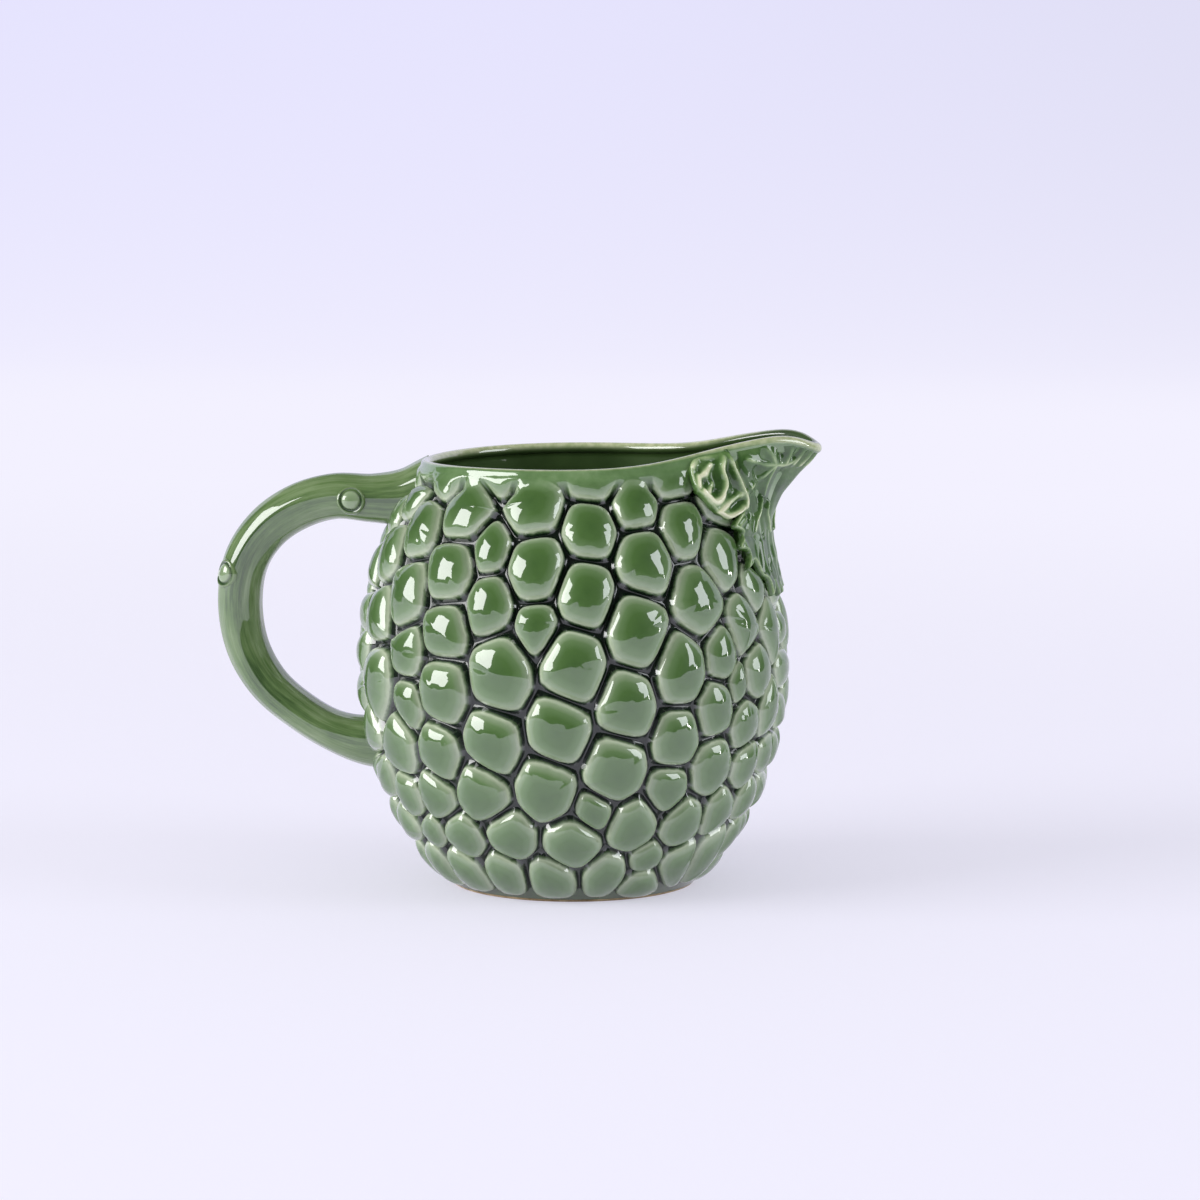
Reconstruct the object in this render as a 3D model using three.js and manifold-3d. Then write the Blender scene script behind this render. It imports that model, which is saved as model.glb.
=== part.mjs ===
// A ceramic pouring jug in the shape of a bunch of green grapes, in millimetres, standing on z = 0.
// It is modelled round its own axis, x = y = 0, with the spout toward +X and the handle toward -X.
// The wall comes from a two-part mould that splits along the spout and the handle. The floor, the
// handle, its two cut-twig knots and the vine leaves are pressed on before the glaze firing.
import * as THREE from "three";
import { ConvexHull } from "three/addons/math/ConvexHull.js";
import { mergeVertices } from "three/addons/utils/BufferGeometryUtils.js";
import Module from "manifold-3d";

const wasm = await Module();
wasm.setup();
const { clamp, degToRad, lerp, radToDeg, smoothstep } = THREE.MathUtils;

// Wall: a sphere stretched upward and downward that just covers the grapes' crowns
const BELLY_RADIUS = 80.3;
const BELLY_HEIGHT = 80;
const STRETCH_UP = 102;
const STRETCH_DOWN = 101;
const WALL = 3.4; // clay behind the valleys between the grapes
const LIP = 3.8; // thickness of the rim
const LIP_HEIGHT = 156.8;
const RIM_HEIGHT = LIP_HEIGHT - LIP / 2; // the wall ends here, in the middle of the lip
const BEAD = 0.35; // how far the lip stands out on either side
const SEAM_GAP = 0.3; // between two pieces that touch
const OUTSIDE = 200; // more than the jug reaches from its axis

// Grapes: depths are measured inward from the stretched sphere
const VALLEY_DEPTH = 5.2;
const CROWN_BREADTH = 22; // grapes this broad reach the stretched sphere, and smaller ones stay lower
const CROWN_LOSS = 0.16; // depth that a crown loses for each millimetre less of breadth
const BAND_DEPTH = 0.4; // the plain band under the lip
const BAND_START = 147;
const BAND_END = 153.5;
const GROUND_RADIUS = 86; // mean radius of the stretched sphere, on which breadths become angles
const SMALL_GRAPE = 16.5; // grapes less broad than this have no ring of points round the crown
const SHOULDER_RING = 0.84; // rings of points on a grape, as shares of the way to its valley
const CROWN_RING = 0.45;
const CORNER_PULL = 0.93; // rounds the corners of the many-sided grapes
const TURNS = 18; // steps of the smooth inner wall and the lip, from the spout to the handle
const LIP_SIDES = 6;
const HOLLOW_HEIGHTS = [4, 20, 46, 80, 110, 124, 133, 140, 146, 150, 153.5, LIP_HEIGHT];
const LID_MARGIN = 3; // how far the lid that trims the wall's top edge stands out past it

// Spout: the wall leans out and rises, most of all in front
const SPOUT_START = 118;
const SPOUT_REACH = 40;
const SPOUT_GROWTH = 2.6;
const SPOUT_ANGLE = 20;
const SPOUT_SPREAD = 14;
const SPOUT_ROUNDNESS = 4;
const SPOUT_SHARPNESS = 1.4;

// Floor
const FLOOR_RADIUS = 44.3;
const FLOOR_TOP = 6.2;
const FOOT_WIDTH = 4.6;
const FOOT_RECESS = 1.2;
const FOOT_SHOW = 1; // height of the foot ring that shows under the grapes
const FLOOR_SIDES = 40;

// Grapes of the near half: turn round from the spout in degrees, height, and breadth
const GRAPES = [
  // the half grapes that run into the band under the lip
  [24, 154, 15], [42.5, 153.5, 15], [57, 158.5, 10], [72, 155, 17], [91, 159, 12], [109, 155.5, 13],
  [133, 154.5, 17], [154, 156, 14], [168, 153, 12],
  // shoulder
  [12, 141, 12], [28, 140, 14], [43, 135, 18], [59, 144.5, 16], [74.5, 137.5, 20], [93.5, 145, 20],
  [119, 143, 21], [138, 134.5, 19], [154, 144, 14], [168, 138, 14],
  [12, 125, 13], [31, 125, 17], [58, 125.5, 23], [91, 124.5, 22], [106, 130.5, 13], [119, 121.5, 20],
  [152, 125, 19], [17.5, 112, 15], [42.5, 111.5, 23], [76.5, 115, 22], [104, 110, 18], [135, 112, 20],
  [167, 117, 17], [11, 98, 15], [25.5, 100, 18], [62, 102, 25], [90, 103, 15], [117.5, 99.5, 19],
  [131, 91, 14], [148.5, 102, 18], [166, 101, 15], [163, 86, 15],
  // belly
  [21, 83, 18], [36, 91, 16], [29, 79, 9], [50, 87, 23], [80, 89, 25], [100, 85.5, 25],
  [117.5, 78.5, 22], [131, 71.5, 13], [147, 77.5, 23], [165, 70, 15], [12, 65, 15], [25, 63.5, 16],
  [38.5, 71.5, 17], [50.5, 62, 19], [65.5, 75, 23], [84, 66, 24], [102.5, 61, 23], [120, 55.5, 19],
  [137, 55.5, 20], [156, 57, 17], [168, 55, 13], [10, 50, 12], [22, 46.5, 16], [37, 48.5, 18],
  [51.5, 42, 14], [68.5, 51.5, 23], [88, 44, 22], [107.5, 41, 21], [125, 37.5, 16], [139, 35, 16],
  [154, 41, 17], [168, 39, 14],
  // under the belly
  [14, 33.5, 15], [28.5, 31, 17], [43, 27.5, 18], [61, 28.5, 18], [73.5, 35, 12], [80.5, 21, 20],
  [101, 24.5, 18], [119, 22, 17], [134.5, 23, 11], [150, 23, 17], [166, 24, 15],
  [10.5, 18, 13], [23.5, 16.5, 16], [38.5, 12.5, 14], [53, 14, 11], [67.5, 9, 15], [88.5, 8, 16],
  [107.5, 9.5, 15], [126, 9, 16], [145, 10, 16], [162, 8, 14], [51.5, 4, 12],
];

// Grapes on the mould's seam: height and breadth, under the spout and under the handle
const SPOUT_GRAPES = [
  [156, 16], [139, 13], [124, 13], [110, 13], [95, 13], [80, 15],
  [65, 13], [49, 12], [34, 12], [19, 9], [7, 10],
];
const HANDLE_GRAPES = [
  [155, 14], [144, 14], [126, 17], [109, 15], [92, 16], [76, 15],
  [61, 15], [46, 15], [31, 15], [15, 14], [3, 10],
];
const MOUTH_SPREAD = 36.5; // degrees from the axis that the open mouth takes from the grapes
const FOOT_SPREAD = 34.5;

// Handle: a bent branch in the spout's plane, as distance from the axis, height and half thickness
const BRANCH = [
  [50, 143, 12.5], [61, 139.5, 10.8], [74, 138.8, 9], [88, 139.3, 8.4], [101, 135.6, 8.4],
  [113, 127.6, 8.3], [121.4, 115.5, 8.3], [124.1, 100, 8.3], [121.3, 83, 8.1], [113.5, 69.7, 7.8],
  [102, 60, 7.6], [90, 53.2, 8], [78, 49.8, 9.6], [66, 49.5, 11.5],
];
const BRANCH_DEPTH = 8.6; // half thickness across the spout's plane, which the section leans to
const BRANCH_DEPTH_SHARE = 0.6;
const BRANCH_SIDES = 12;
const BRANCH_STEPS = 26;
const BARK_RIDGE = 0.3;

// Cut-twig knots: profile from the stub's root to its sunken ring and heart, and where they sit
const KNOT_PROFILE = [[0, -4], [5.1, -4], [5.1, 0.5], [4.5, 1.1], [3.6, 0.8], [2.6, 1.3], [0, 1.5]];
const KNOT_SIDES = 12;
const SIDE_KNOT = { place: [-80.5, -8.6, 138.9], axis: [0, -1, 0.1] };
const OUTER_KNOT = { place: [-128.6, -6.3, 111], axis: [-0.64, -0.75, 0.16] };

// Leaves: turn round from the spout and height of each point of the outline. The spout leaf is folded
// round the spout, and its outline is given from the keel under the lip down one side to the keel again.
const SPOUT_LEAF_HEART = [0, 134];
const SPOUT_LEAF_SIDE = [
  [8, 152.4], [15, 152.3], [22.4, 152.2], [22.1, 150.5], [21.6, 148], [19.7, 143.5], [18.7, 139.3],
  [22.5, 136.2], [25.5, 133.2], [22, 131], [24, 126.5], [20, 124.5], [22, 119], [17, 121.5], [15, 117],
  [11, 113.5], [10, 108], [6, 112.5], [3, 107],
];
const SPOUT_LEAF_KEEL = [152.4, 111]; // heights where the outline meets the keel
const CURLED_LEAF_HEART = [28.5, 146.5];
const CURLED_LEAF = [
  [24.5, 152.4], [29, 152.3], [34.5, 152], [36.5, 150], [37.8, 147], [35.5, 143.5], [34.5, 139.5],
  [30.5, 138.5], [27.5, 135.5], [23.5, 137.5], [19.5, 139], [20.5, 143.5], [22.3, 148], [22.8, 151],
];
const DEGREE_LENGTH = 1.25; // length of a degree round the spout's wall
const LEAF_BED = 4; // depth of the bed that a leaf is pressed into
const PLAIN_SPREAD = [19, 20]; // turn and height from the spout leaf's heart where no grapes lie under it
const LEAF_BACKING = 2.6; // least clay behind a leaf, near the lip
const LEAF_FURROW = 0.9; // between two of a leaf's ridges
const POCKET_MARGIN = 0.8; // round a leaf in its pocket
const POCKET_OPENING = 10; // how far a pocket's cutter stands out of the wall

function bell(value, width) {
  return Math.exp(-((value / width) ** 2));
}

// Direction, from the middle of the belly, of the spot at a turn from the spout and a height
function directionAt(turn, height) {
  const stretch = height > BELLY_HEIGHT ? STRETCH_UP : STRETCH_DOWN;
  const up = (height - BELLY_HEIGHT) / stretch;
  const flat = Math.sqrt(1 - up * up);
  const around = -degToRad(turn);
  return new THREE.Vector3(flat * Math.cos(around), flat * Math.sin(around), up);
}

function heightOf(direction) {
  return BELLY_HEIGHT + direction.z * (direction.z > 0 ? STRETCH_UP : STRETCH_DOWN);
}

// The jug's smooth skin: the stretched sphere, drawn out and up into the spout
function skinPoint(direction) {
  const height = heightOf(direction);
  const around = Math.atan2(direction.y, direction.x);
  const turn = Math.abs(radToDeg(around));
  const rise = clamp((height - SPOUT_START) / (LIP_HEIGHT - SPOUT_START), 0, 1.2);
  const spread = SPOUT_ANGLE + SPOUT_SPREAD * Math.max(0, 1 - rise);
  const bend = (turn ** 2 + SPOUT_ROUNDNESS ** 2) ** (SPOUT_SHARPNESS / 2) - SPOUT_ROUNDNESS ** SPOUT_SHARPNESS;
  const pull = SPOUT_REACH * rise ** SPOUT_GROWTH * Math.exp(-bend / spread ** SPOUT_SHARPNESS);
  const lift = rise ** 2 * (9.8 * bell(turn, 38) - 6 * bell(turn, 7) - 1.2 * bell(180 - turn, 50));
  const radius = BELLY_RADIUS * Math.sqrt(1 - direction.z ** 2) + pull;
  return new THREE.Vector3(radius * Math.cos(around), radius * Math.sin(around), height + lift);
}

// A point at a depth under the skin, square to it
function skin(direction, depth) {
  const step = 0.004;
  const side = new THREE.Vector3(-direction.y, direction.x, 0).normalize();
  const over = direction.clone().cross(side);
  const slope = (way) => {
    const ahead = skinPoint(direction.clone().addScaledVector(way, step).normalize());
    return ahead.sub(skinPoint(direction.clone().addScaledVector(way, -step).normalize()));
  };
  const outward = slope(side).cross(slope(over)).normalize();
  return skinPoint(direction).addScaledVector(outward, -depth);
}

// Depth of the inner wall, which thins to the lip
function innerDepth(height) {
  return lerp(VALLEY_DEPTH + WALL, LIP, smoothstep(height, BAND_START, RIM_HEIGHT));
}

function solidOf(geometry) {
  const bare = geometry.clone();
  bare.deleteAttribute("normal");
  bare.deleteAttribute("uv");
  const merged = mergeVertices(bare, 1e-4);
  const vertProperties = new Float32Array(merged.getAttribute("position").array);
  const triVerts = new Uint32Array(merged.index.array);
  const made = new wasm.Manifold(new wasm.Mesh({ numProp: 3, vertProperties, triVerts }));
  if (made.volume() > 0) return made;
  for (let i = 0; i < triVerts.length; i += 3) {
    [triVerts[i + 1], triVerts[i + 2]] = [triVerts[i + 2], triVerts[i + 1]];
  }
  return new wasm.Manifold(new wasm.Mesh({ numProp: 3, vertProperties, triVerts }));
}

function solidOfTriangles(corners) {
  return solidOf(new THREE.BufferGeometry().setFromPoints(corners));
}

function middleOf(points) {
  return points.reduce((sum, p) => sum.add(p), new THREE.Vector3()).divideScalar(points.length);
}

// A closed solid through rings of as many points each, with flat ends or, as a hoop, none
function loft(rings, hoop = false) {
  const corners = [];
  const bands = hoop ? rings.length : rings.length - 1;
  for (let i = 0; i < bands; i++) {
    const low = rings[i];
    const high = rings[(i + 1) % rings.length];
    low.forEach((a, k) => {
      const b = low[(k + 1) % low.length];
      const c = high[(k + 1) % low.length];
      const d = high[k];
      corners.push(a, b, c, a, c, d);
    });
  }
  if (!hoop) {
    const first = rings[0];
    const last = rings.at(-1);
    first.forEach((a, k) => corners.push(middleOf(first), first[(k + 1) % first.length], a));
    last.forEach((a, k) => corners.push(middleOf(last), a, last[(k + 1) % last.length]));
  }
  return solidOfTriangles(corners);
}

// The bunch: the sphere is shared out among the grapes, each of which takes the ground nearest to it
// counting its breadth, and each share is raised into a dome. grow swells the whole bunch.
function bunch(grow) {
  const seeds = [];
  const plant = (direction, spread, breadth) => {
    seeds.push({ direction, breadth, point: direction.clone().divideScalar(Math.cos(spread)), corners: [] });
  };
  const plantGrape = (turn, height, breadth) => {
    plant(directionAt(turn, height), breadth / 2 / GROUND_RADIUS, breadth);
  };
  GRAPES.forEach(([turn, height, breadth]) => {
    plantGrape(turn, height, breadth);
    plantGrape(-turn, height, breadth);
  });
  SPOUT_GRAPES.forEach(([height, breadth]) => plantGrape(0, height, breadth));
  HANDLE_GRAPES.forEach(([height, breadth]) => plantGrape(180, height, breadth));
  plant(new THREE.Vector3(0, 0, 1), degToRad(MOUTH_SPREAD), 0);
  plant(new THREE.Vector3(0, 0, -1), degToRad(FOOT_SPREAD), 0);

  // The corners where three grapes meet are the face normals of the hull of the weighted points
  const hull = new ConvexHull().setFromPoints(seeds.map((seed) => seed.point));
  const seedOf = new Map(seeds.map((seed) => [seed.point, seed]));
  hull.faces.forEach((face) => {
    [0, 1, 2].forEach((i) => seedOf.get(face.getEdge(i).head().point).corners.push(face.normal));
  });

  const triangles = [];
  const put = (direction, raise, top) => {
    const height = heightOf(direction);
    const turn = radToDeg(Math.atan2(direction.y, direction.x));
    const fromHeart = Math.hypot(turn / PLAIN_SPREAD[0], (height - SPOUT_LEAF_HEART[1]) / PLAIN_SPREAD[1]);
    const plain = Math.max(smoothstep(height, BAND_START, BAND_END), 1 - smoothstep(fromHeart, 0.7, 1));
    const dome = lerp(VALLEY_DEPTH, top, raise);
    return skin(direction, lerp(dome, BAND_DEPTH, plain) - grow);
  };
  seeds.forEach(({ direction, breadth, corners }) => {
    const top = Math.max(0, (CROWN_BREADTH - breadth) * CROWN_LOSS);
    const across = new THREE.Vector3(0.3, 0.2, 1).cross(direction).normalize();
    const along = direction.clone().cross(across);
    const angle = (c) => Math.atan2(c.dot(along), c.dot(across));
    const around = [...corners].sort((a, b) => angle(a) - angle(b));
    const count = around.length;
    const valley = around.map((c) => put(c, 0, 0));
    if (!breadth) {
      const centre = put(direction, 0, 0);
      valley.forEach((a, k) => triangles.push(centre, a, valley[(k + 1) % count]));
      return;
    }
    const reach = (target, share) => direction.clone().lerp(target, share).normalize();
    const round = (share) => Math.sqrt(1 - share ** 2.4);
    const atCorner = (ring) =>
      around.map((c) => put(reach(c, ring * CORNER_PULL), round(ring), top));
    const atSide = (ring) =>
      around.map((c, k) => {
        const half = c.clone().add(around[(k + 1) % count]).normalize();
        return put(reach(half, ring), round(ring), top);
      });
    const shoulder = atCorner(SHOULDER_RING);
    const flank = atSide(SHOULDER_RING);
    const crown = atCorner(CROWN_RING);
    const centre = put(direction, 1, top);
    for (let k = 0; k < count; k++) {
      const n = (k + 1) % count;
      triangles.push(valley[k], valley[n], flank[k]);
      triangles.push(valley[k], flank[k], shoulder[k]);
      triangles.push(valley[n], shoulder[n], flank[k]);
      if (breadth < SMALL_GRAPE) {
        triangles.push(shoulder[k], flank[k], centre, flank[k], shoulder[n], centre);
      } else {
        triangles.push(shoulder[k], flank[k], crown[k], flank[k], shoulder[n], crown[n]);
        triangles.push(flank[k], crown[n], crown[k], centre, crown[k], crown[n]);
      }
    }
  });
  return solidOfTriangles(triangles);
}

// Turns round the jug, closer together at the spout
function turnsRound() {
  const half = Array.from({ length: TURNS }, (_, i) => 180 * (i / TURNS) ** 1.5);
  return [...half, 180, ...half.slice(1).reverse().map((turn) => -turn)];
}

// Everything past the wall's top edge, which is cut square to the wall
function lid() {
  const edge = (depth) => turnsRound().map((turn) => skin(directionAt(turn, RIM_HEIGHT), depth));
  const scaled = (ring, share) => ring.map((p) => new THREE.Vector3(p.x * share, p.y * share, p.z));
  const inner = edge(LIP + 1);
  const outer = edge(-LID_MARGIN);
  const above = scaled(outer, 1.3).map((p) => p.setZ(2 * LIP_HEIGHT));
  return loft([scaled(inner, 0.5), inner, outer, scaled(outer, 1.3), above]);
}

// The hollow inside, with the hole that the floor closes
function hollow() {
  const ring = (radius, height) =>
    turnsRound().map((turn) => {
      const around = -degToRad(turn);
      return new THREE.Vector3(radius * Math.cos(around), radius * Math.sin(around), height);
    });
  const seat = (FLOOR_RADIUS + SEAM_GAP) / Math.cos(degToRad(90 * (1 - (1 - 1 / TURNS) ** 1.5)));
  const inner = HOLLOW_HEIGHTS.map((height) =>
    turnsRound().map((turn) => skin(directionAt(turn, height), innerDepth(height))),
  );
  const top = inner.at(-1).map((p) => new THREE.Vector3(p.x, p.y, p.z + LIP));
  return loft([ring(seat, -FLOOR_TOP), ring(seat, FLOOR_TOP + SEAM_GAP), ...inner, top]);
}

// The rounded lip that runs round the rim and the spout
function lip(grow) {
  const half = LIP / 2;
  const rings = turnsRound().map((turn) => {
    const direction = directionAt(turn, RIM_HEIGHT);
    const centre = skin(direction, half);
    const outward = skin(direction, 0).sub(centre).normalize();
    const upward = new THREE.Vector3(0, 0, 1).projectOnPlane(outward).normalize();
    return Array.from({ length: LIP_SIDES }, (_, k) => {
      const a = (2 * Math.PI * (k + 0.5)) / LIP_SIDES;
      const point = centre.clone().addScaledVector(outward, (half + BEAD + grow) * Math.cos(a));
      return point.addScaledVector(upward, (half + grow) * Math.sin(a));
    });
  });
  return loft(rings, true);
}

// The branch of the handle, with low ridges of bark along it
function branch(grow) {
  const path = new THREE.CatmullRomCurve3(BRANCH.map(([away, height]) => new THREE.Vector3(-away, 0, height)));
  const girth = new THREE.CatmullRomCurve3(BRANCH.map(([, , half], i) => new THREE.Vector3(i, half, 0)));
  const rings = Array.from({ length: BRANCH_STEPS + 1 }, (_, i) => {
    const t = i / BRANCH_STEPS;
    const centre = path.getPoint(t);
    const ahead = path.getTangent(t);
    const outer = new THREE.Vector3(ahead.z, 0, -ahead.x);
    const half = girth.getPoint(t).y + grow;
    const deep = lerp(half, BRANCH_DEPTH + grow, BRANCH_DEPTH_SHARE);
    return Array.from({ length: BRANCH_SIDES }, (_, k) => {
      const a = (2 * Math.PI * k) / BRANCH_SIDES;
      const ridge = k % 2 ? -BARK_RIDGE : BARK_RIDGE;
      const point = centre.clone().addScaledVector(outer, (half + ridge) * Math.cos(a));
      return point.setY((deep + ridge) * Math.sin(a));
    });
  });
  return loft(rings);
}

// A leaf on the wall: rings of points from its heart to its outline, ridged toward every other point.
// With clearance it is the pocket that the leaf needs, open outward, with one more ring round it.
function leaf({ outline, heart, shares, crest, rolled }, clearance = 0) {
  const rings = shares.map((share) => ({ share, beyond: 0 }));
  if (clearance) rings.push({ share: 1, beyond: POCKET_MARGIN });
  const spot = ([turn, height], { share, beyond }) => {
    const length = Math.hypot((turn - heart[0]) * DEGREE_LENGTH, height - heart[1]);
    const away = share + beyond / length;
    return [lerp(heart[0], turn, away), lerp(heart[1], height, away)];
  };
  const bedDepth = (height) => Math.min(LEAF_BED, innerDepth(height) - LEAF_BACKING) + clearance;
  const topDepth = (k, share) => {
    if (clearance) return -POCKET_OPENING;
    const furrow = k % 2 ? LEAF_FURROW * share : 0;
    return crest + furrow + (share === 1 ? rolled : 0);
  };
  const over = rings.map((ring) =>
    outline.map((p, k) => skin(directionAt(...spot(p, ring)), topDepth(k, ring.share))),
  );
  const under = rings.map((ring) =>
    outline.map((p) => {
      const [turn, height] = spot(p, ring);
      return skin(directionAt(turn, height), bedDepth(height));
    }),
  );
  const top = skin(directionAt(...heart), clearance ? -POCKET_OPENING : crest);
  const bottom = skin(directionAt(...heart), bedDepth(heart[1]));
  const bands = [...over, ...under.reverse()];
  const corners = [];
  for (let k = 0; k < outline.length; k++) {
    const n = (k + 1) % outline.length;
    corners.push(top, bands[0][n], bands[0][k]);
    corners.push(bottom, bands.at(-1)[k], bands.at(-1)[n]);
    for (let i = 0; i + 1 < bands.length; i++) {
      const [a, b, c, d] = [bands[i][k], bands[i][n], bands[i + 1][n], bands[i + 1][k]];
      // The second half mirrors the first, so that a leaf folded over the spout has two like sides
      corners.push(...(2 * k < outline.length ? [a, b, c, a, c, d] : [a, b, d, b, c, d]));
    }
  }
  return solidOfTriangles(corners);
}

// A cut-twig knot: a short stub with a sunken ring round its heart, square to the branch
function knot({ place, axis }) {
  const stub = new THREE.LatheGeometry(KNOT_PROFILE.map(([r, h]) => new THREE.Vector2(r, h)), KNOT_SIDES);
  const square = new THREE.Vector3(...axis).normalize();
  stub.applyQuaternion(new THREE.Quaternion().setFromUnitVectors(new THREE.Vector3(0, 1, 0), square));
  stub.translate(...place);
  return solidOf(stub);
}

// The floor: a disc with a foot ring of bare clay round a shallow recess
function floorDisc() {
  const inside = FLOOR_RADIUS - FOOT_WIDTH;
  const profile = [
    [0, FOOT_RECESS], [inside - 1, FOOT_RECESS], [inside, 0], [FLOOR_RADIUS - 0.8, 0],
    [FLOOR_RADIUS, 0.8], [FLOOR_RADIUS, FLOOR_TOP], [0, FLOOR_TOP],
  ];
  const disc = new THREE.LatheGeometry(profile.map(([r, h]) => new THREE.Vector2(r, h)), FLOOR_SIDES);
  return solidOf(disc.rotateX(Math.PI / 2));
}

// Everything on the near side of the mould's seam
function nearSide() {
  const box = new THREE.BoxGeometry(2 * OUTSIDE, OUTSIDE, 2 * OUTSIDE);
  return solidOf(box.translate(0, -(OUTSIDE + SEAM_GAP) / 2, 0));
}

const near = nearSide();
const [keelTop, keelFoot] = SPOUT_LEAF_KEEL;
const farSide = SPOUT_LEAF_SIDE.map(([turn, height]) => [-turn, height]).reverse();
const spoutShape = {
  outline: [[0, keelTop], ...SPOUT_LEAF_SIDE, [0, keelFoot], ...farSide],
  heart: SPOUT_LEAF_HEART,
  shares: [0.25, 0.5, 0.75, 1],
  crest: 0.1,
  rolled: 0.4,
};
const curledShape = {
  outline: CURLED_LEAF,
  heart: CURLED_LEAF_HEART,
  shares: [0.55, 1],
  crest: -0.8,
  rolled: -0.6,
};
const wall = bunch(0).subtract(lid()).subtract(hollow()).add(lip(0));
const underground = new THREE.BoxGeometry(2 * OUTSIDE, 2 * OUTSIDE, OUTSIDE);
const ground = solidOf(underground.translate(0, 0, FOOT_SHOW - OUTSIDE / 2));
const pockets = leaf(spoutShape, SEAM_GAP).add(leaf(curledShape, SEAM_GAP));
const bodyHalf = wall.intersect(near).subtract(ground).subtract(pockets);
const handle = branch(0).subtract(bunch(SEAM_GAP)).subtract(lip(SEAM_GAP));
const grownBranch = branch(SEAM_GAP);
const sideKnot = knot(SIDE_KNOT).subtract(grownBranch);
const outerKnot = knot(OUTER_KNOT).subtract(grownBranch);

// Colours of the fired glaze where it lies thin and thick, and of the bare clay
const glaze = (color) => new THREE.MeshStandardMaterial({ color, roughness: 0.12, metalness: 0 });
const materials = {
  grapes: glaze(0x557f45),
  leaves: glaze(0x6b9058),
  bark: glaze(0x6f8f60),
  floor: glaze(0x5f8550),
};

const jug = new THREE.Group();
const onAxis = new THREE.Group();
jug.add(onAxis);

function place(name, solid, material, farSide = false) {
  const { numProp, numVert, vertProperties, triVerts } = solid.getMesh();
  const points = new Float32Array(numVert * 3);
  for (let i = 0; i < numVert; i++) {
    points.set(vertProperties.subarray(i * numProp, i * numProp + 3), i * 3);
  }
  const geometry = new THREE.BufferGeometry();
  geometry.setAttribute("position", new THREE.BufferAttribute(points, 3));
  geometry.setIndex(new THREE.BufferAttribute(triVerts, 1));
  const mesh = new THREE.Mesh(geometry, material);
  mesh.name = name;
  if (farSide) mesh.scale.y = -1;
  onAxis.add(mesh);
}

place("body_near_half", bodyHalf, materials.grapes);
place("body_far_half", bodyHalf, materials.grapes, true);
place("base", floorDisc(), materials.floor);
place("handle", handle, materials.bark);
place("side_twig_knot", sideKnot, materials.bark);
place("outer_twig_knot", outerKnot, materials.bark);
place("spout_leaf", leaf(spoutShape), materials.leaves);
place("curled_leaf_near", leaf(curledShape), materials.leaves);
place("curled_leaf_far", leaf(curledShape), materials.leaves, true);

// The origin moves to the middle of the footprint of the whole jug, on the ground
jug.updateMatrixWorld(true);
const middle = new THREE.Box3().setFromObject(jug).getCenter(new THREE.Vector3());
onAxis.position.set(-middle.x, -middle.y, 0);

export default jug;
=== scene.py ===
# %% [markdown]
# # A green-glazed jug shaped as a bunch of grapes
# The CAD model gives the frame: every piece at its real size, each in its own place. This script
# dresses it. The grape wall, the leaves and the branch are made again as fine meshes where the CAD
# has facets, and a glaze material is laid over them. Blender works in metres; sizes here are written
# in millimetres, as a potter would, and turned into metres at the end of each piece.

# %% Load the frame
import contextlib
import math
import bmesh
import bpy
import mathutils
import numpy as np
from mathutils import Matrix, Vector


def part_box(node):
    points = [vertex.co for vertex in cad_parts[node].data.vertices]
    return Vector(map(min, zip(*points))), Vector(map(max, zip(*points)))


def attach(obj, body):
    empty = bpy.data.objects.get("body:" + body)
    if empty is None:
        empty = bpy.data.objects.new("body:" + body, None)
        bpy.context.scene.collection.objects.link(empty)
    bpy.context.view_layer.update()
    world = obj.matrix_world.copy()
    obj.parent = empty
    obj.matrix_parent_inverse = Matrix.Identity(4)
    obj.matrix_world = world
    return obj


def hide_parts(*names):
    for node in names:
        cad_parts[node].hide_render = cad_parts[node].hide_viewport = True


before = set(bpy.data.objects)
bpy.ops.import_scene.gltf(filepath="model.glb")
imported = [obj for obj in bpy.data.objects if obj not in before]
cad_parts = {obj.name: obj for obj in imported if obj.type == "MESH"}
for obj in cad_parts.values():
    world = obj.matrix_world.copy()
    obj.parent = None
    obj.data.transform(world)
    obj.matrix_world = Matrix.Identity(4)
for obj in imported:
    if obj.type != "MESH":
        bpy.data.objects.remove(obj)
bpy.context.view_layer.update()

MM = 0.001
base_low, base_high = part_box("base")
AXIS = (base_low + base_high) / 2
AXIS.z = 0
print("the jug's own axis stands at x =", round(AXIS.x, 5))

# %% [markdown]
# ## Formulas instead of boxes and wires
# Both the wall's shape and its glaze are formulas. Node trees can hold them, but long formulas wired
# by hand are hard to read. A small class wraps one socket and gives it +, -, *, / and **, so a formula
# looks in the script as it does on paper. A pair of vectors goes through Vector Math, numbers
# through Math. Every other node comes from one method, Graph.node.

# %% A value in a node tree
def by_node(operation, swapped=False):
    """What Python does for one operator: it adds the Math node of this operation"""
    def apply(value, other):
        given = (other, value) if swapped else (value, other)
        return value.graph.maths(operation, *given)

    return apply


class Value:
    def __init__(self, graph, socket):
        self.graph = graph
        self.socket = socket

    __add__, __radd__ = by_node("ADD"), by_node("ADD", swapped=True)
    __sub__, __rsub__ = by_node("SUBTRACT"), by_node("SUBTRACT", swapped=True)
    __mul__, __rmul__ = by_node("MULTIPLY"), by_node("MULTIPLY", swapped=True)
    __truediv__, __rtruediv__ = by_node("DIVIDE"), by_node("DIVIDE", swapped=True)
    __pow__ = by_node("POWER")
    __gt__, __lt__ = by_node("GREATER_THAN"), by_node("LESS_THAN")

    def __neg__(self):
        return self * -1


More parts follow.
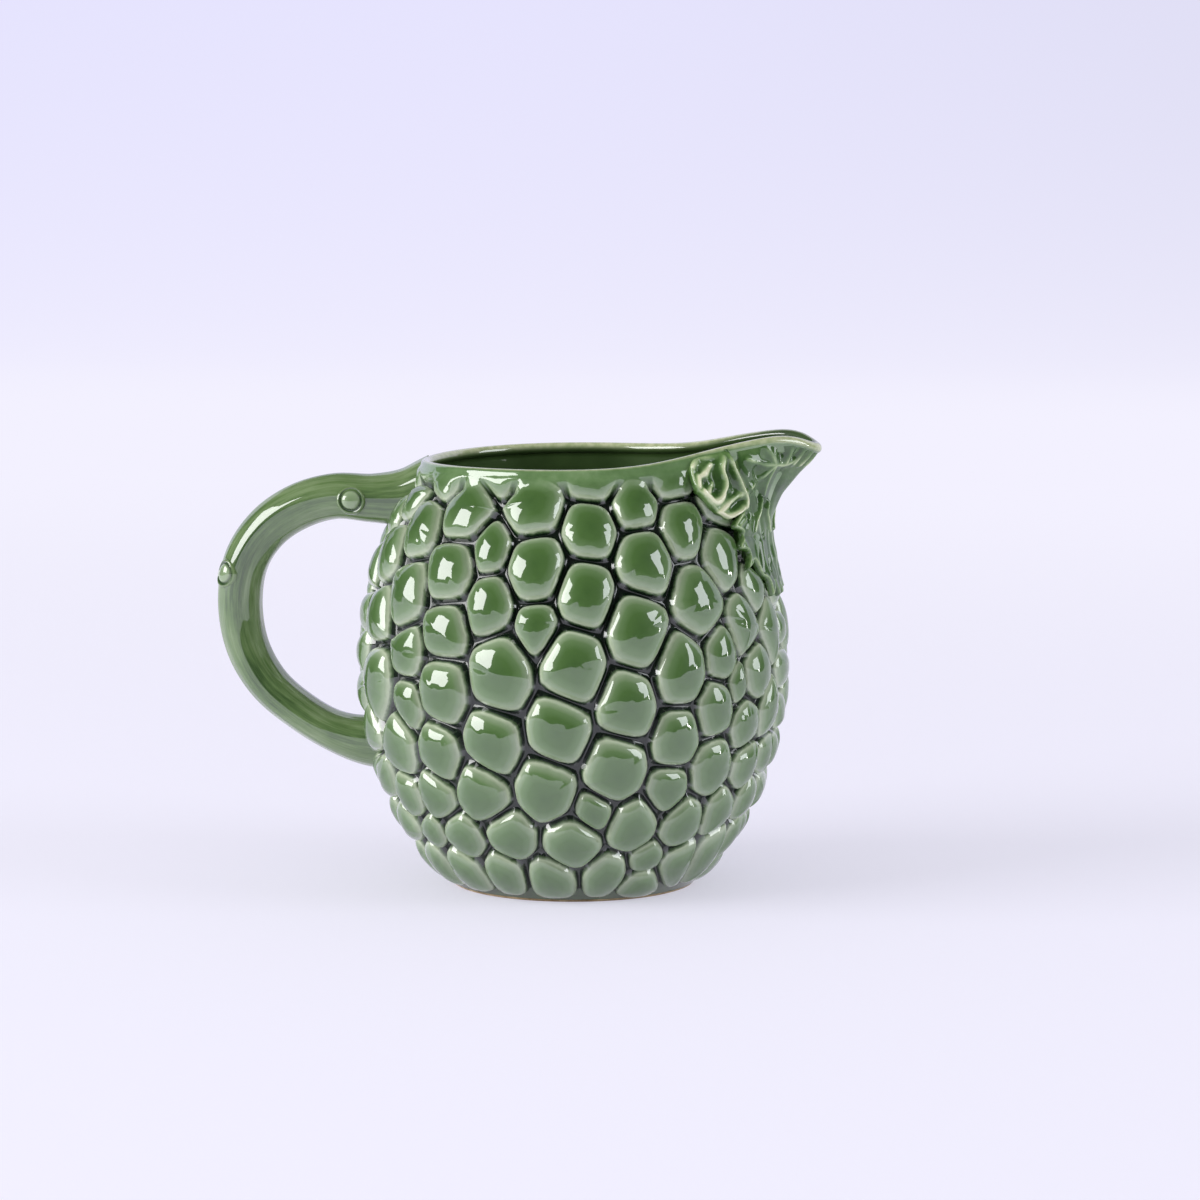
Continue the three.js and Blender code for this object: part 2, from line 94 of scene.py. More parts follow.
# %% A node tree that is written as formulas
class Graph:
    def __init__(self, tree):
        self.tree = tree

    def plug(self, socket, given):
        if isinstance(given, Value):
            self.tree.links.new(given.socket, socket)
        else:
            socket.default_value = given

    def node(self, kind, settings=None, inputs=None):
        made = self.tree.nodes.new(kind)
        for name, value in (settings or {}).items():
            if name == "stops":
                self.set_stops(made.color_ramp, value)
            else:
                setattr(made, name, value)
        for name, given in (inputs or {}).items():
            self.plug(made.inputs[name], given)
        return lambda output=0: Value(self, made.outputs[output])

    def set_stops(self, ramp, stops):
        while len(ramp.elements) < len(stops):
            ramp.elements.new(1)
        for element, (place, colour) in zip(ramp.elements, stops):
            element.position = place
            element.color = colour

    def maths(self, operation, *given):
        vectors = [g for g in given if isinstance(g, Value) and g.socket.type == "VECTOR"]
        if not vectors:
            return self.node("ShaderNodeMath", {"operation": operation}, dict(enumerate(given)))()
        if operation == "MULTIPLY" and len(vectors) == 1:
            number = next(g for g in given if g is not vectors[0])
            inputs = {0: vectors[0], "Scale": number}
            return self.node("ShaderNodeVectorMath", {"operation": "SCALE"}, inputs)()
        return self.vector(operation, *given)

    def vector(self, operation, *given):
        output = 1 if operation in ("LENGTH", "DOT_PRODUCT") else 0
        settings = {"operation": operation}
        return self.node("ShaderNodeVectorMath", settings, dict(enumerate(given)))(output)

    def unit(self, vector):
        return self.vector("NORMALIZE", vector)

    def group(self, tree, inputs):
        return self.node("GeometryNodeGroup", {"node_tree": tree}, inputs)()

    def most(self, a, b):
        return self.maths("MAXIMUM", a, b)

    def least(self, a, b):
        return self.maths("MINIMUM", a, b)

    def smooth(self, value, start, end):
        settings = {"interpolation_type": "SMOOTHSTEP"}
        inputs = {"Value": value, "From Min": start, "From Max": end}
        return self.node("ShaderNodeMapRange", settings, inputs)()

    def bell(self, value, width):
        return self.maths("EXPONENT", -((value / width) ** 2))

    def lerp(self, a, b, share):
        return a + share * (b - a)

    def parts(self, vector):
        apart = self.node("ShaderNodeSeparateXYZ", inputs={0: vector})
        return apart("X"), apart("Y"), apart("Z")

    def xyz(self, x, y, z):
        return self.node("ShaderNodeCombineXYZ", inputs={0: x, 1: y, 2: z})()

    def turned_to(self, angle, radius, height):
        return self.xyz(radius * self.maths("COSINE", angle), radius * self.maths("SINE", angle), height)


# %% A new geometry tree
def geometry_tree(name, inputs, output):
    """A new tree, the source of its inputs, and the call that plugs in its only output"""
    tree = bpy.data.node_groups.new(name, "GeometryNodeTree")
    for in_out, sockets in (("INPUT", inputs), ("OUTPUT", output)):
        for label, (kind, default) in sockets.items():
            socket = tree.interface.new_socket(label, in_out=in_out, socket_type="NodeSocket" + kind)
            if default is not None:
                socket.default_value = default
    graph = Graph(tree)
    sink = tree.nodes.new("NodeGroupOutput")

    def give(result):
        graph.plug(sink.inputs[0], result)
        print("tree:", name, "has", len(tree.nodes), "nodes")
        return tree

    return graph, graph.node("NodeGroupInput"), give


print("node formulas are ready")

# %% [markdown]
# ## The skin that everything lies on
# A mould maker turns the plain form first and carves the grapes into it afterwards. The plain form is
# a sphere, stretched more above the belly than below, whose front is drawn out and up into the spout.
# As a rule, each direction from the belly's middle gives one point of the skin. Kept as a node group,
# the rule serves the grapes, the inner wall, the lip and the leaves alike, so they all fit.

# %% The plain form as a rule
BELLY_RADIUS = 80.3
BELLY_HEIGHT = 80
STRETCH_UP = 102
STRETCH_DOWN = 101
LIP_HEIGHT = 156.8
SPOUT_START = 118
SPOUT_REACH = 40
SPOUT_GROWTH = 2.6
SPOUT_ANGLE = 20
SPOUT_SPREAD = 14
SPOUT_ROUNDNESS = 4
SPOUT_SHARPNESS = 1.4
MOST_RISE = 1.2

# How far the rim climbs toward the spout and dips at its tip and at the handle, in millimetres, and
# over how many degrees
CLIMB, CLIMB_SPREAD = 9.8, 38
TIP_DIP, TIP_SPREAD = 6, 7
BACK_DIP, BACK_SPREAD = 1.2, 50


def height_at(g, up):
    """The height on the jug of a level on the ball"""
    above = g.most(up, 0) * STRETCH_UP
    return above + g.least(up, 0) * STRETCH_DOWN + BELLY_HEIGHT


def skin_point_tree():
    g, source, give = geometry_tree(
        "skin point", {"Direction": ("Vector", None)}, {"Place": ("Vector", None)}
    )
    x, y, z = g.parts(source("Direction"))
    height = height_at(g, z)
    around = g.maths("ARCTAN2", y, x)
    turn = g.maths("ABSOLUTE", around) * (180 / math.pi)
    rise = g.least(g.most((height - SPOUT_START) / (LIP_HEIGHT - SPOUT_START), 0), MOST_RISE)
    spread = SPOUT_ANGLE + SPOUT_SPREAD * g.most(1 - rise, 0)
    half = SPOUT_SHARPNESS / 2
    bend = (turn**2 + SPOUT_ROUNDNESS**2) ** half - SPOUT_ROUNDNESS**SPOUT_SHARPNESS
    narrowed = g.maths("EXPONENT", -(bend / spread**SPOUT_SHARPNESS))
    pull = SPOUT_REACH * rise**SPOUT_GROWTH * narrowed
    sides = CLIMB * g.bell(turn, CLIMB_SPREAD) - TIP_DIP * g.bell(turn, TIP_SPREAD)
    lift = rise**2 * (sides - BACK_DIP * g.bell(180 - turn, BACK_SPREAD))
    radius = BELLY_RADIUS * (g.most(1 - z**2, 0) ** 0.5) + pull
    return give(g.turned_to(around, radius, height + lift))


SKIN_POINT = skin_point_tree()
print("skin rule: lip at", LIP_HEIGHT, "mm, belly", 2 * BELLY_RADIUS, "mm across")

# %% [markdown]
# A point under the skin needs the skin's own normal there. It comes from the rule itself: two short
# steps sideways and two up and down give two slopes, and their cross product stands square to both.

# %% A point at a depth under the skin
SHORT_STEP = 0.004


def under_skin_tree():
    g, source, give = geometry_tree(
        "under the skin",
        {"Direction": ("Vector", None), "Depth": ("Float", 0)},
        {"Place": ("Vector", None)},
    )
    direction = source("Direction")
    x, y, _ = g.parts(direction)

    def point(where):
        return g.group(SKIN_POINT, {0: g.unit(where)})

    side = g.unit(g.xyz(-y, x, 0))
    steps = [side * SHORT_STEP, g.vector("CROSS_PRODUCT", direction, side) * SHORT_STEP]
    slopes = [point(direction + step) - point(direction - step) for step in steps]
    outward = g.unit(g.vector("CROSS_PRODUCT", *slopes))
    return give(point(direction) - outward * source("Depth"))


UNDER_SKIN = under_skin_tree()


def stretch_at(height):
    return STRETCH_UP if height > BELLY_HEIGHT else STRETCH_DOWN


def up_and_flat(height):
    """Where this height of the jug lies on the ball: how far up, and how far out from the axis"""
    up = (height - BELLY_HEIGHT) / stretch_at(height)
    return up, math.sqrt(1 - up * up)


# %% [markdown]
# ## Where the grapes are
# Each grape on the near half is a turn round from the spout in degrees, a height and a breadth,
# chosen on the real jug. The far half of the mould mirrors the near one, and one row of grapes
# runs down the mould's seam under the spout and one under the handle.

# %% The grapes of one half, and of the two seams
GRAPES = [
    (24, 154, 15), (42.5, 153.5, 15), (57, 158.5, 10), (72, 155, 17), (91, 159, 12), (109, 155.5, 13),
    (133, 154.5, 17), (154, 156, 14), (168, 153, 12),
    (12, 141, 12), (27, 142.5, 12), (43, 135, 18), (59, 144.5, 16), (74.5, 137.5, 20), (93.5, 145, 20),
    (119, 143, 21), (138, 134.5, 19), (154, 144, 14), (168, 138, 14),
    (12, 125, 13), (31, 125, 17), (58, 125.5, 23), (91, 124.5, 22), (106, 130.5, 13), (119, 121.5, 20),
    (152, 125, 19), (17.5, 112, 15), (42.5, 111.5, 23), (76.5, 115, 22), (104, 110, 18), (135, 112, 20),
    (167, 117, 17), (11, 98, 15), (25.5, 100, 18), (62, 102, 25), (90, 103, 15), (117.5, 99.5, 19),
    (131, 91, 14), (148.5, 102, 18), (166, 101, 15), (163, 86, 15),
    (21, 83, 18), (36, 91, 16), (29, 79, 9), (50, 87, 23), (80, 89, 25), (100, 85.5, 25),
    (117.5, 78.5, 22), (131, 71.5, 13), (147, 77.5, 23), (165, 70, 15), (12, 65, 15), (25, 63.5, 16),
    (38.5, 71.5, 17), (50.5, 62, 19), (65.5, 75, 23), (84, 66, 24), (102.5, 61, 23), (120, 55.5, 19),
    (137, 55.5, 20), (156, 57, 17), (168, 55, 13), (10, 50, 12), (22, 46.5, 16), (37, 48.5, 18),
    (51.5, 42, 14), (68.5, 51.5, 23), (88, 44, 22), (107.5, 41, 21), (125, 37.5, 16), (139, 35, 16),
    (154, 41, 17), (168, 39, 14),
    (14, 33.5, 15), (28.5, 31, 17), (43, 27.5, 18), (61, 28.5, 18), (73.5, 35, 12), (80.5, 21, 20),
    (101, 24.5, 18), (119, 22, 17), (134.5, 23, 11), (150, 23, 17), (166, 24, 15),
    (10.5, 18, 13), (23.5, 16.5, 16), (38.5, 12.5, 14), (53, 14, 11), (67.5, 9, 15), (88.5, 8, 16),
    (107.5, 9.5, 15), (126, 9, 16), (145, 10, 16), (162, 8, 14), (51.5, 4, 12),
]
SPOUT_GRAPES = [
    (156, 16), (139, 13), (124, 13), (110, 13), (95, 13), (80, 15), (65, 13), (49, 12), (34, 12),
    (19, 9), (7, 10),
]
HANDLE_GRAPES = [
    (155, 14), (144, 14), (126, 17), (109, 15), (92, 16), (76, 15), (61, 15), (46, 15), (31, 15),
    (15, 14), (3, 10),
]
MOUTH_SPREAD = math.radians(36.5)
FOOT_SPREAD = math.radians(34.5)
GROUND_RADIUS = 86  # the mean radius on which a breadth becomes an angle


def seed_point(direction, spread):
    return [part / math.cos(spread) for part in direction]


def direction_at(turn, height):
    up, flat = up_and_flat(height)
    around = -math.radians(turn)
    return (flat * math.cos(around), flat * math.sin(around), up)


def all_seeds():
    rows = [(side * turn, height, breadth) for turn, height, breadth in GRAPES for side in (1, -1)]
    rows += [(0, height, breadth) for height, breadth in SPOUT_GRAPES]
    rows += [(180, height, breadth) for height, breadth in HANDLE_GRAPES]
    seeds = [seed_point(direction_at(t, h), breadth / 2 / GROUND_RADIUS) for t, h, breadth in rows]
    return seeds + [seed_point((0, 0, 1), MOUTH_SPREAD), seed_point((0, 0, -1), FOOT_SPREAD)]


SEEDS = all_seeds()
print(len(SEEDS) - 2, "grapes, and one seed each for the mouth and the foot")

# %% [markdown]
# ## Sharing the skin out among the grapes
# Grapes that are pressed together share the ground: each takes what is nearest to it, counting its
# breadth. That is a weighted Voronoi pattern, and on a sphere there is a neat way to get it. Every
# seed is pushed out by its breadth, and a convex hull is drawn round them all. Each corner where
# three grapes meet is then the normal of one face of that hull, so the hull's dual mesh, with its
# points moved to those normals, is the pattern of the grapes. Scattered balls would overlap or leave
# gaps; this never does.

# %% Helpers for attributes, noise and places
def kind_of(value):
    vector = isinstance(value, Value) and value.socket.type == "VECTOR"
    return "FLOAT_VECTOR" if vector else "FLOAT"


def named(g, name, kind="FLOAT"):
    return g.node("GeometryNodeInputNamedAttribute", {"data_type": kind}, {"Name": name})("Attribute")


def named_vector(g, name):
    return named(g, name, "FLOAT_VECTOR")


def store(g, mesh, name, value, domain="POINT", selection=True):
    settings = {"data_type": kind_of(value), "domain": domain}
    inputs = {"Geometry": mesh, "Name": name, "Value": value, "Selection": selection}
    return g.node("GeometryNodeStoreNamedAttribute", settings, inputs)()


def on_domain(g, domain, value):
    settings = {"domain": domain, "data_type": kind_of(value)}
    return g.node("GeometryNodeFieldOnDomain", settings, {"Value": value})()


def under_skin(g, direction, depth):
    return g.group(UNDER_SKIN, {"Direction": direction, "Depth": depth})


def position(g):
    return g.node("GeometryNodeInputPosition")()


def noise(g, vector, scale, detail=3.0, roughness=0.5):
    inputs = {"Vector": vector, "Scale": scale, "Detail": detail, "Roughness": roughness}
    return g.node("ShaderNodeTexNoise", inputs=inputs)("Fac")


def passed(g, kind, mesh, **inputs):
    """Passes a mesh through a node whose first socket takes it"""
    return g.node(kind, inputs={0: mesh, **inputs})()


def moved(g, mesh, place, selection=True):
    return passed(g, "GeometryNodeSetPosition", mesh, Position=place, Selection=selection)


def ended(g, mesh, material):
    """How a tree ends: real geometry in place of instances, and its material"""
    mesh = passed(g, "GeometryNodeRealizeInstances", mesh)
    return passed(g, "GeometryNodeSetMaterial", mesh, Material=material)


# %% [markdown]
# ## One cell becomes one grape
# Each cell is split off and divided into one quad per corner. Two marks are put on its points: one is
# 1 on the cell's whole border, the other 1 only at its corners. Further division spreads both evenly,
# and together they say where a point lies between the middle, the edges and the corners. A rounded
# distance made from them gives a dome whose outline has soft corners and a flat channel round it.

# %% The cells, divided and marked
KITE_LEAST, KITE_MOST = 0.4, 0.95


def cell_mesh(g, seeds, fineness):
    hull = passed(g, "GeometryNodeConvexHull", seeds)
    hull = store(g, hull, "junction", g.node("GeometryNodeInputNormal")(), "FACE")
    hull = store(g, hull, "seed", position(g))
    cells = passed(g, "GeometryNodeDualMesh", hull)
    cells = moved(g, cells, g.unit(named_vector(g, "junction")))
    cells = store(g, cells, "middle", position(g), "FACE")
    cells = passed(g, "GeometryNodeSplitEdges", cells)
    cells = passed(g, "GeometryNodeSubdivideMesh", cells, Level=1)
    faces = g.node("GeometryNodeInputMeshEdgeNeighbors")("Face Count")
    neighbours = g.node("GeometryNodeInputMeshVertexNeighbors")("Vertex Count")
    cells = store(g, cells, "on_border", on_domain(g, "EDGE", 2 - faces) > 0.01)
    cells = store(g, cells, "on_corner", neighbours < 2.5)

    # Further division bends each quad, and "bend" is what takes the bend out again. "kite" says how far
    # out the quad's two side corners lie along its diagonal, which its round outline needs to know
    border, corner = named(g, "on_border"), named(g, "on_corner")

    def sum_where(mark):
        return on_domain(g, "POINT", position(g) * (mark * 4))

    middle, tip, sides = sum_where(1 - border), sum_where(corner), sum_where(border * (1 - corner))
    cells = store(g, cells, "bend", middle + tip - sides, "FACE")
    reach = tip - middle
    along = g.vector("DOT_PRODUCT", sides - middle * 2, reach) / g.vector("DOT_PRODUCT", reach, reach)
    kite = g.least(g.most(along / 2, KITE_LEAST), KITE_MOST)
    cells = store(g, cells, "kite", kite, "FACE")
    return passed(g, "GeometryNodeSubdivideMesh", cells, Level=fineness)


# %% A rounded outline for each cell
CHANNEL_START = 0.93  # the share of the way out at which a grape ends and its channel starts
CROWDING = 1.5
SQUARENESS = 3.2
SQUARE_FROM = 0.8


def rounded_cells(g, cells):
    """Crowds the rows toward the border, where the dome is steep, and bends them round the corners"""
    corner = named(g, "on_corner")
    total = named(g, "on_border") + corner
    apart = g.most(total**2 - 4 * corner, 0) ** 0.5
    u = (total + apart) / 2
    v = (total - apart) / 2
    row = 1 - g.most(1 - u, 0) ** CROWDING
    power = g.lerp(2, SQUARENESS, g.smooth(row, 0, SQUARE_FROM))
    slant = v / g.most(u, 0.001)
    rounded = 1 / (1 + (1 / named(g, "kite") - 1) * slant**power) ** (1 / power)
    rounded = g.lerp(rounded, 1, g.smooth(row, CHANNEL_START, 1))
    middle = named_vector(g, "middle")
    straight = position(g) + named_vector(g, "bend") * (v * (1 - u))
    reach = rounded * row / g.most(u, 0.001)
    cells = moved(g, cells, g.unit(middle + (straight - middle) * reach))
    return store(g, cells, "outline", row)


# %% The dome of each grape
VALLEY_DEPTH = 6.2
GROOVE = 0.6
CROWN_BREADTH = 22  # a grape this broad reaches the skin, and a smaller one stays lower
CROWN_LOSS = 0.16
ROUNDNESS = 2.3
LUMPS = 0.12
LUMP_SCALE = 9.0
SOFT_CROWN = (0.45, 0.75)
SOFTENINGS = 4


def domed(g, cells, valley_depth):
    """Stores how deep under the skin each point lies: the valleys deep, the crowns at the top"""
    spread = g.maths("ARCCOSINE", 1 / g.vector("LENGTH", named_vector(g, "seed")))
    breadth = spread * (2 * GROUND_RADIUS)
    crown = g.most((CROWN_BREADTH - breadth) * CROWN_LOSS, 0)
    outline = named(g, "outline")
    lumps = noise(g, position(g), LUMP_SCALE, detail=0)
    raised = (1 - g.least(outline / CHANNEL_START, 1) ** ROUNDNESS) ** 0.5
    valley = valley_depth + g.smooth(outline, CHANNEL_START - 0.02, 1) * GROOVE
    cells = store(g, cells, "dome", g.lerp(valley, crown + (lumps - 0.5) * LUMPS, raised))
    softening = 1 - g.smooth(outline, *SOFT_CROWN)
    dome = named(g, "dome")
    dome = passed(g, "GeometryNodeBlurAttribute", dome, Iterations=SOFTENINGS, Weight=softening)
    return store(g, cells, "dome", dome)


# %% Where the grapes run out into a plain wall
BAND_DEPTH = 0.4
BAND_START = 149
BAND_END = 153
LEAF_HEART = (0, 134)  # a turn and a height: the wall is plain under the spout's leaf too
PLAIN_SPREAD = (19, 20)
PLAIN_SHARE = 0.7


def run_out(g, cells):
    x, y, z = g.parts(position(g))
    height = height_at(g, z)
    turn = g.maths("ARCTAN2", y, x) * (180 / math.pi)
    aside = (turn - LEAF_HEART[0]) / PLAIN_SPREAD[0]
    from_heart = (aside**2 + ((height - LEAF_HEART[1]) / PLAIN_SPREAD[1]) ** 2) ** 0.5
    under_leaf = 1 - g.smooth(from_heart, PLAIN_SHARE, 1)
    plain = g.most(g.smooth(height, BAND_START, BAND_END), under_leaf)
    cells = store(g, cells, "plain", plain)
    return store(g, cells, "depth", g.lerp(named(g, "dome"), BAND_DEPTH, plain))


def ball_tree():
    g, source, give = geometry_tree(
        "grapes on a ball",
        {"Seeds": ("Geometry", None), "Fineness": ("Int", 3), "Valley Depth": ("Float", VALLEY_DEPTH)},
        {"Ball": ("Geometry", None)},
    )
    cells = rounded_cells(g, cell_mesh(g, source("Seeds"), source("Fineness")))
    ball = run_out(g, domed(g, cells, source("Valley Depth")))
    return give(ended(g, ball, GRAPE_GLAZE))


print("domes rise", VALLEY_DEPTH, "mm out of the valleys")

# %% [markdown]
# ## Lip, inner wall and foot
# On the ball, a level of the jug is a flat plane, so both ends are cut there, cleanly, before the ball
# is stretched into the jug. From the upper edge the mesh is then extruded ring by ring: round the lip,
# down the smooth inner wall and into the seat of the floor. Each ring asks the same skin rule for its
# place, only deeper, so the wall keeps its thickness up into the spout.

# %% Rings over the lip and down inside
WALL = 2.4
LIP = 3.8
BEAD = 0.15
NECK_START = 147
RIM_HEIGHT = LIP_HEIGHT - LIP / 2
LIP_ANGLES = np.radians(np.arange(-40, 221, 20))
CREST_OUTSIDE, CREST_INSIDE = 0.6, 4  # powers: the pale crest is broad outside and narrow inside
INNER_LEVELS = (
    153, 151, 149, 146.5, 143.5, 140, 136, 131, 125, 118, 109, 98, 86, 74, 62, 50, 39, 29, 20, 12, 5,
)


def inner_depth(height):
    """How deep under the skin the inner wall lies, which is less in the neck"""
    share = min(max((height - NECK_START) / (RIM_HEIGHT - NECK_START), 0), 1)
    share = share * share * (3 - 2 * share)
    return VALLEY_DEPTH + WALL + share * (LIP - VALLEY_DEPTH - WALL)


def at_level(g, around, height):
    up, flat = up_and_flat(height)
    return around * flat + g.xyz(0, 0, up)


def lip_places(g, around):
    """Places round the lip's section, which leans with the wall, and how much of the crest each is"""
    direction = at_level(g, around, RIM_HEIGHT)
    middle = under_skin(g, direction, LIP / 2)
    outward = g.unit(under_skin(g, direction, 0) - middle)
    across = g.vector("CROSS_PRODUCT", outward, g.xyz(0, 0, 1))
    upward = g.unit(g.vector("CROSS_PRODUCT", across, outward))
    for angle in LIP_ANGLES:
        out = outward * float((LIP / 2 + BEAD) * math.cos(angle))
        rise = upward * float(LIP / 2 * math.sin(angle))
        power = CREST_OUTSIDE if angle < math.pi / 2 else CREST_INSIDE
        # The lip's inner half is marked inside, where the darker inner green is painted as shade
        yield middle + out + rise, {
            "crest": max(0.0, math.sin(angle)) ** power,
            "inside": float(np.clip(angle - math.pi / 2, 0, 1)),
        }


def inner_places(g, around):
    for height in INNER_LEVELS:
        place = under_skin(g, at_level(g, around, height), inner_depth(height))
        # The inner wall is marked inside, for its darker green painted as shade
        yield place, {"inside": 1.0, "crest": 0.0}


print("wall:", round(inner_depth(BELLY_HEIGHT), 2), "mm at the crowns, lip", LIP, "mm thick")

# %% The wall's node tree
FOOT_SHOW = 1
SEAT_RADIUS = 44.6
SEAT_HEIGHT = 6.5
MERGE_DISTANCE = 0.01


def extruded(g, mesh, edges, place, marks):
    settings = {"mode": "EDGES"}
    inputs = {"Mesh": mesh, "Selection": edges, "Offset Scale": 0.0}
    grown = g.node("GeometryNodeExtrudeMesh", settings, inputs)
    mesh = moved(g, grown("Mesh"), place, grown("Top"))
    for name, value in marks.items():
        mesh = store(g, mesh, name, value, selection=grown("Top"))
    return mesh, grown("Top")


def wall_tree():
    g, source, give = geometry_tree(
        "wall on the skin",
        {
            "Ball": ("Geometry", None), "Seat Radius": ("Float", SEAT_RADIUS),
            "Seat Height": ("Float", SEAT_HEIGHT),
        },
        {"Wall": ("Geometry", None)},
    )
    x, y, _ = g.parts(position(g))
    wall = store(g, source("Ball"), "around", g.unit(g.xyz(x, y, 0)))
    wall = moved(g, wall, under_skin(g, position(g), named(g, "depth")))
    x, y, z = g.parts(position(g))
    wall = moved(g, wall, g.xyz(x, y, g.most(z, FOOT_SHOW)))
    wall = passed(g, "GeometryNodeMergeByDistance", wall, Distance=MERGE_DISTANCE)
    for name in ("crest", "inside"):
        wall = store(g, wall, name, 0.0)

    # The open loops are at the rim and at the foot
    loop = g.node("GeometryNodeInputMeshEdgeNeighbors")("Face Count") < 1.5
    _, _, z = g.parts(position(g))
    top = loop * (z > BELLY_HEIGHT)
    foot = loop * (z < BELLY_HEIGHT)
    around = named_vector(g, "around")
    for place, marks in [*lip_places(g, around), *inner_places(g, around)]:
        wall, top = extruded(g, wall, top, place, marks)
    seat = around * source("Seat Radius")
    wall, _ = extruded(g, wall, top, seat + g.xyz(0, 0, source("Seat Height")), {})
    # The ring under the foot is marked inside too, so it takes the darker green painted as shade
    wall, _ = extruded(g, wall, foot, seat + g.xyz(0, 0, FOOT_SHOW), {"inside": 1.0})

    wall = moved(g, wall, position(g) * MM + g.xyz(AXIS.x, AXIS.y, 0))
    wall = passed(g, "GeometryNodeSetShadeSmooth", wall)
    return give(ended(g, wall, GRAPE_GLAZE))


# %% [markdown]
# ## Glaze
# One green glaze covers the whole jug. Where it runs off raised clay it is thin and pale, and where it
# gathers in hollows it lies deep and is a little duller. So colour follows the relief: the mesh carries
# how far a point lies from its grape's middle, and the shader turns that distance into colour. The pale
# ring on each grape's steep edge is partly thin glaze and partly painted sheen. The almost black green
# of the channels is pooled glaze and painted shade together, and the inside is painted darker as shade.

# %% Colours and the glaze shader
def colour(red, green, blue):
    channels = [c / 255 for c in (red, green, blue)]
    linear = [c / 12.92 if c <= 0.04045 else ((c + 0.055) / 1.055) ** 2.4 for c in channels]
    return (*linear, 1)


def attribute(g, name, output="Fac"):
    return g.node("ShaderNodeAttribute", {"attribute_name": name})(output)


def ramp(g, value, *stops):
    """A colour ramp, in which each stop gives its place and then its red, green and blue"""
    stops = [(place, colour(*shade)) for place, *shade in stops]
    return g.node("ShaderNodeValToRGB", {"stops": stops}, {"Fac": value})("Color")


def mixed(g, share, first, second):
    inputs = {0: share, 6: first, 7: second}
    return g.node("ShaderNodeMix", {"data_type": "RGBA"}, inputs)(2)


def emptied(owner):
    owner.use_nodes = True
    owner.node_tree.nodes.clear()
    return Graph(owner.node_tree)


def glaze_material(name, colour_rule):
    made = bpy.data.materials.new(name)
    g = emptied(made)
    base, height, coat = colour_rule(g, g.node("ShaderNodeTexCoord")("Object"))
    bump = g.node("ShaderNodeBump", inputs={"Strength": 0.1, "Distance": 0.0003, "Height": height})()
    glaze = g.node("ShaderNodeBsdfPrincipled", inputs={
        "Base Color": base, "Roughness": 0.4, "IOR": 1.4, "Specular IOR Level": 0.3,
        "Coat Weight": coat, "Coat Roughness": 0.015, "Coat IOR": 2.0, "Normal": bump,
    })()
    g.node("ShaderNodeOutputMaterial", inputs={"Surface": glaze})
    print("material:", name, "has", len(g.tree.nodes), "nodes")
    return made


# %% Glaze on the grapes, the lip and inside
POOL_DULLING = 0.42
POOL_END = 0.98


# The darker green of the jug's inside, its floor and underside is painted shade
def inner_glaze_painted_shade(g, cloud):
    return ramp(g, cloud, (0.3, 50, 72, 34), (0.7, 66, 90, 48))


def grape_rule(g, place):
    marks = ("outline", "plain", "crest", "inside")
    outline, plain, crest, inside = [attribute(g, name) for name in marks]
    cloud = noise(g, place, scale=60, detail=4)
    streak = noise(g, place, scale=420)
    far = outline + (cloud - 0.5) * 0.12 + (streak - 0.5) * 0.04
    # From middle to channel. The pale stops on the dome's steep edge are partly thin glaze and partly
    # painted sheen. The near-black channel stops are pooled glaze and painted shade.
    dome = ramp(
        g, far, (0.0, 64, 98, 42), (0.42, 74, 108, 50), (0.64, 98, 128, 78), (0.79, 142, 162, 126),
        (0.87, 194, 206, 176), (0.905, 84, 108, 70), (0.93, 8, 32, 12), (1.0, 2, 18, 6),
    )
    stirred = cloud + (streak - 0.5) * 0.3
    band = ramp(g, stirred, (0.3, 84, 118, 64), (0.55, 104, 136, 84), (0.8, 132, 158, 112))
    lip = ramp(g, streak, (0.35, 172, 184, 136), (0.65, 204, 208, 168))
    base = mixed(g, plain, dome, band)
    # Where marked inside, the glaze takes the darker inner green, which is painted shade
    base = mixed(g, inside, base, inner_glaze_painted_shade(g, cloud))
    base = mixed(g, crest, base, lip)
    pooled = g.smooth(outline, CHANNEL_START - 0.01, POOL_END) * (1 - plain)
    return base, noise(g, place, scale=130, detail=2), 1 - POOL_DULLING * pooled


GRAPE_GLAZE = glaze_material("grape_glaze", grape_rule)

# %% [markdown]
# ## Making the wall
# The tree runs once on the seeds. What comes out is kept as a plain mesh, and the two loops that are
# still open, the floor's seat and the foot, are bridged.

# %% Helpers for plain meshes
@contextlib.contextmanager
def opened(mesh):
    shape = bmesh.new()
    shape.from_mesh(mesh)
    yield shape
    shape.to_mesh(mesh)
    shape.free()


def placed(name, data):
    made = bpy.data.objects.new(name, data)
    bpy.context.scene.collection.objects.link(made)
    return made


def plain_mesh(name, points, faces=()):
    mesh = bpy.data.meshes.new(name)
    mesh.from_pydata(points, [], faces)
    return placed(name, mesh)


def grown_by(tree, made, settings):
    modifier = made.modifiers.new(tree.name, "NODES")
    modifier.node_group = tree
    sockets = {item.name: item.identifier for item in tree.interface.items_tree}
    for name, value in settings.items():
        modifier[sockets[name]] = value
    evaluated = made.evaluated_get(bpy.context.evaluated_depsgraph_get())
    mesh = bpy.data.meshes.new_from_object(evaluated)
    made.modifiers.clear()
    made.data = mesh
    return made


def close_loops(mesh):
    """Bridges the open loops, and says how many edges are still open"""
    with opened(mesh) as shape:
        bmesh.ops.bridge_loops(shape, edges=[edge for edge in shape.edges if edge.is_boundary])
        bmesh.ops.recalc_face_normals(shape, faces=shape.faces)
        return sum(edge.is_boundary for edge in shape.edges)


def cut_at(mesh, height, keep_below):
    """Cuts the ball at the plane that becomes this height of the jug"""
    with opened(mesh) as shape:
        bmesh.ops.bisect_plane(
            shape, geom=[*shape.verts, *shape.edges, *shape.faces], dist=1e-5,
            plane_co=(0, 0, up_and_flat(height)[0]), plane_no=(0, 0, 1),
            clear_outer=keep_below, clear_inner=not keep_below,
        )


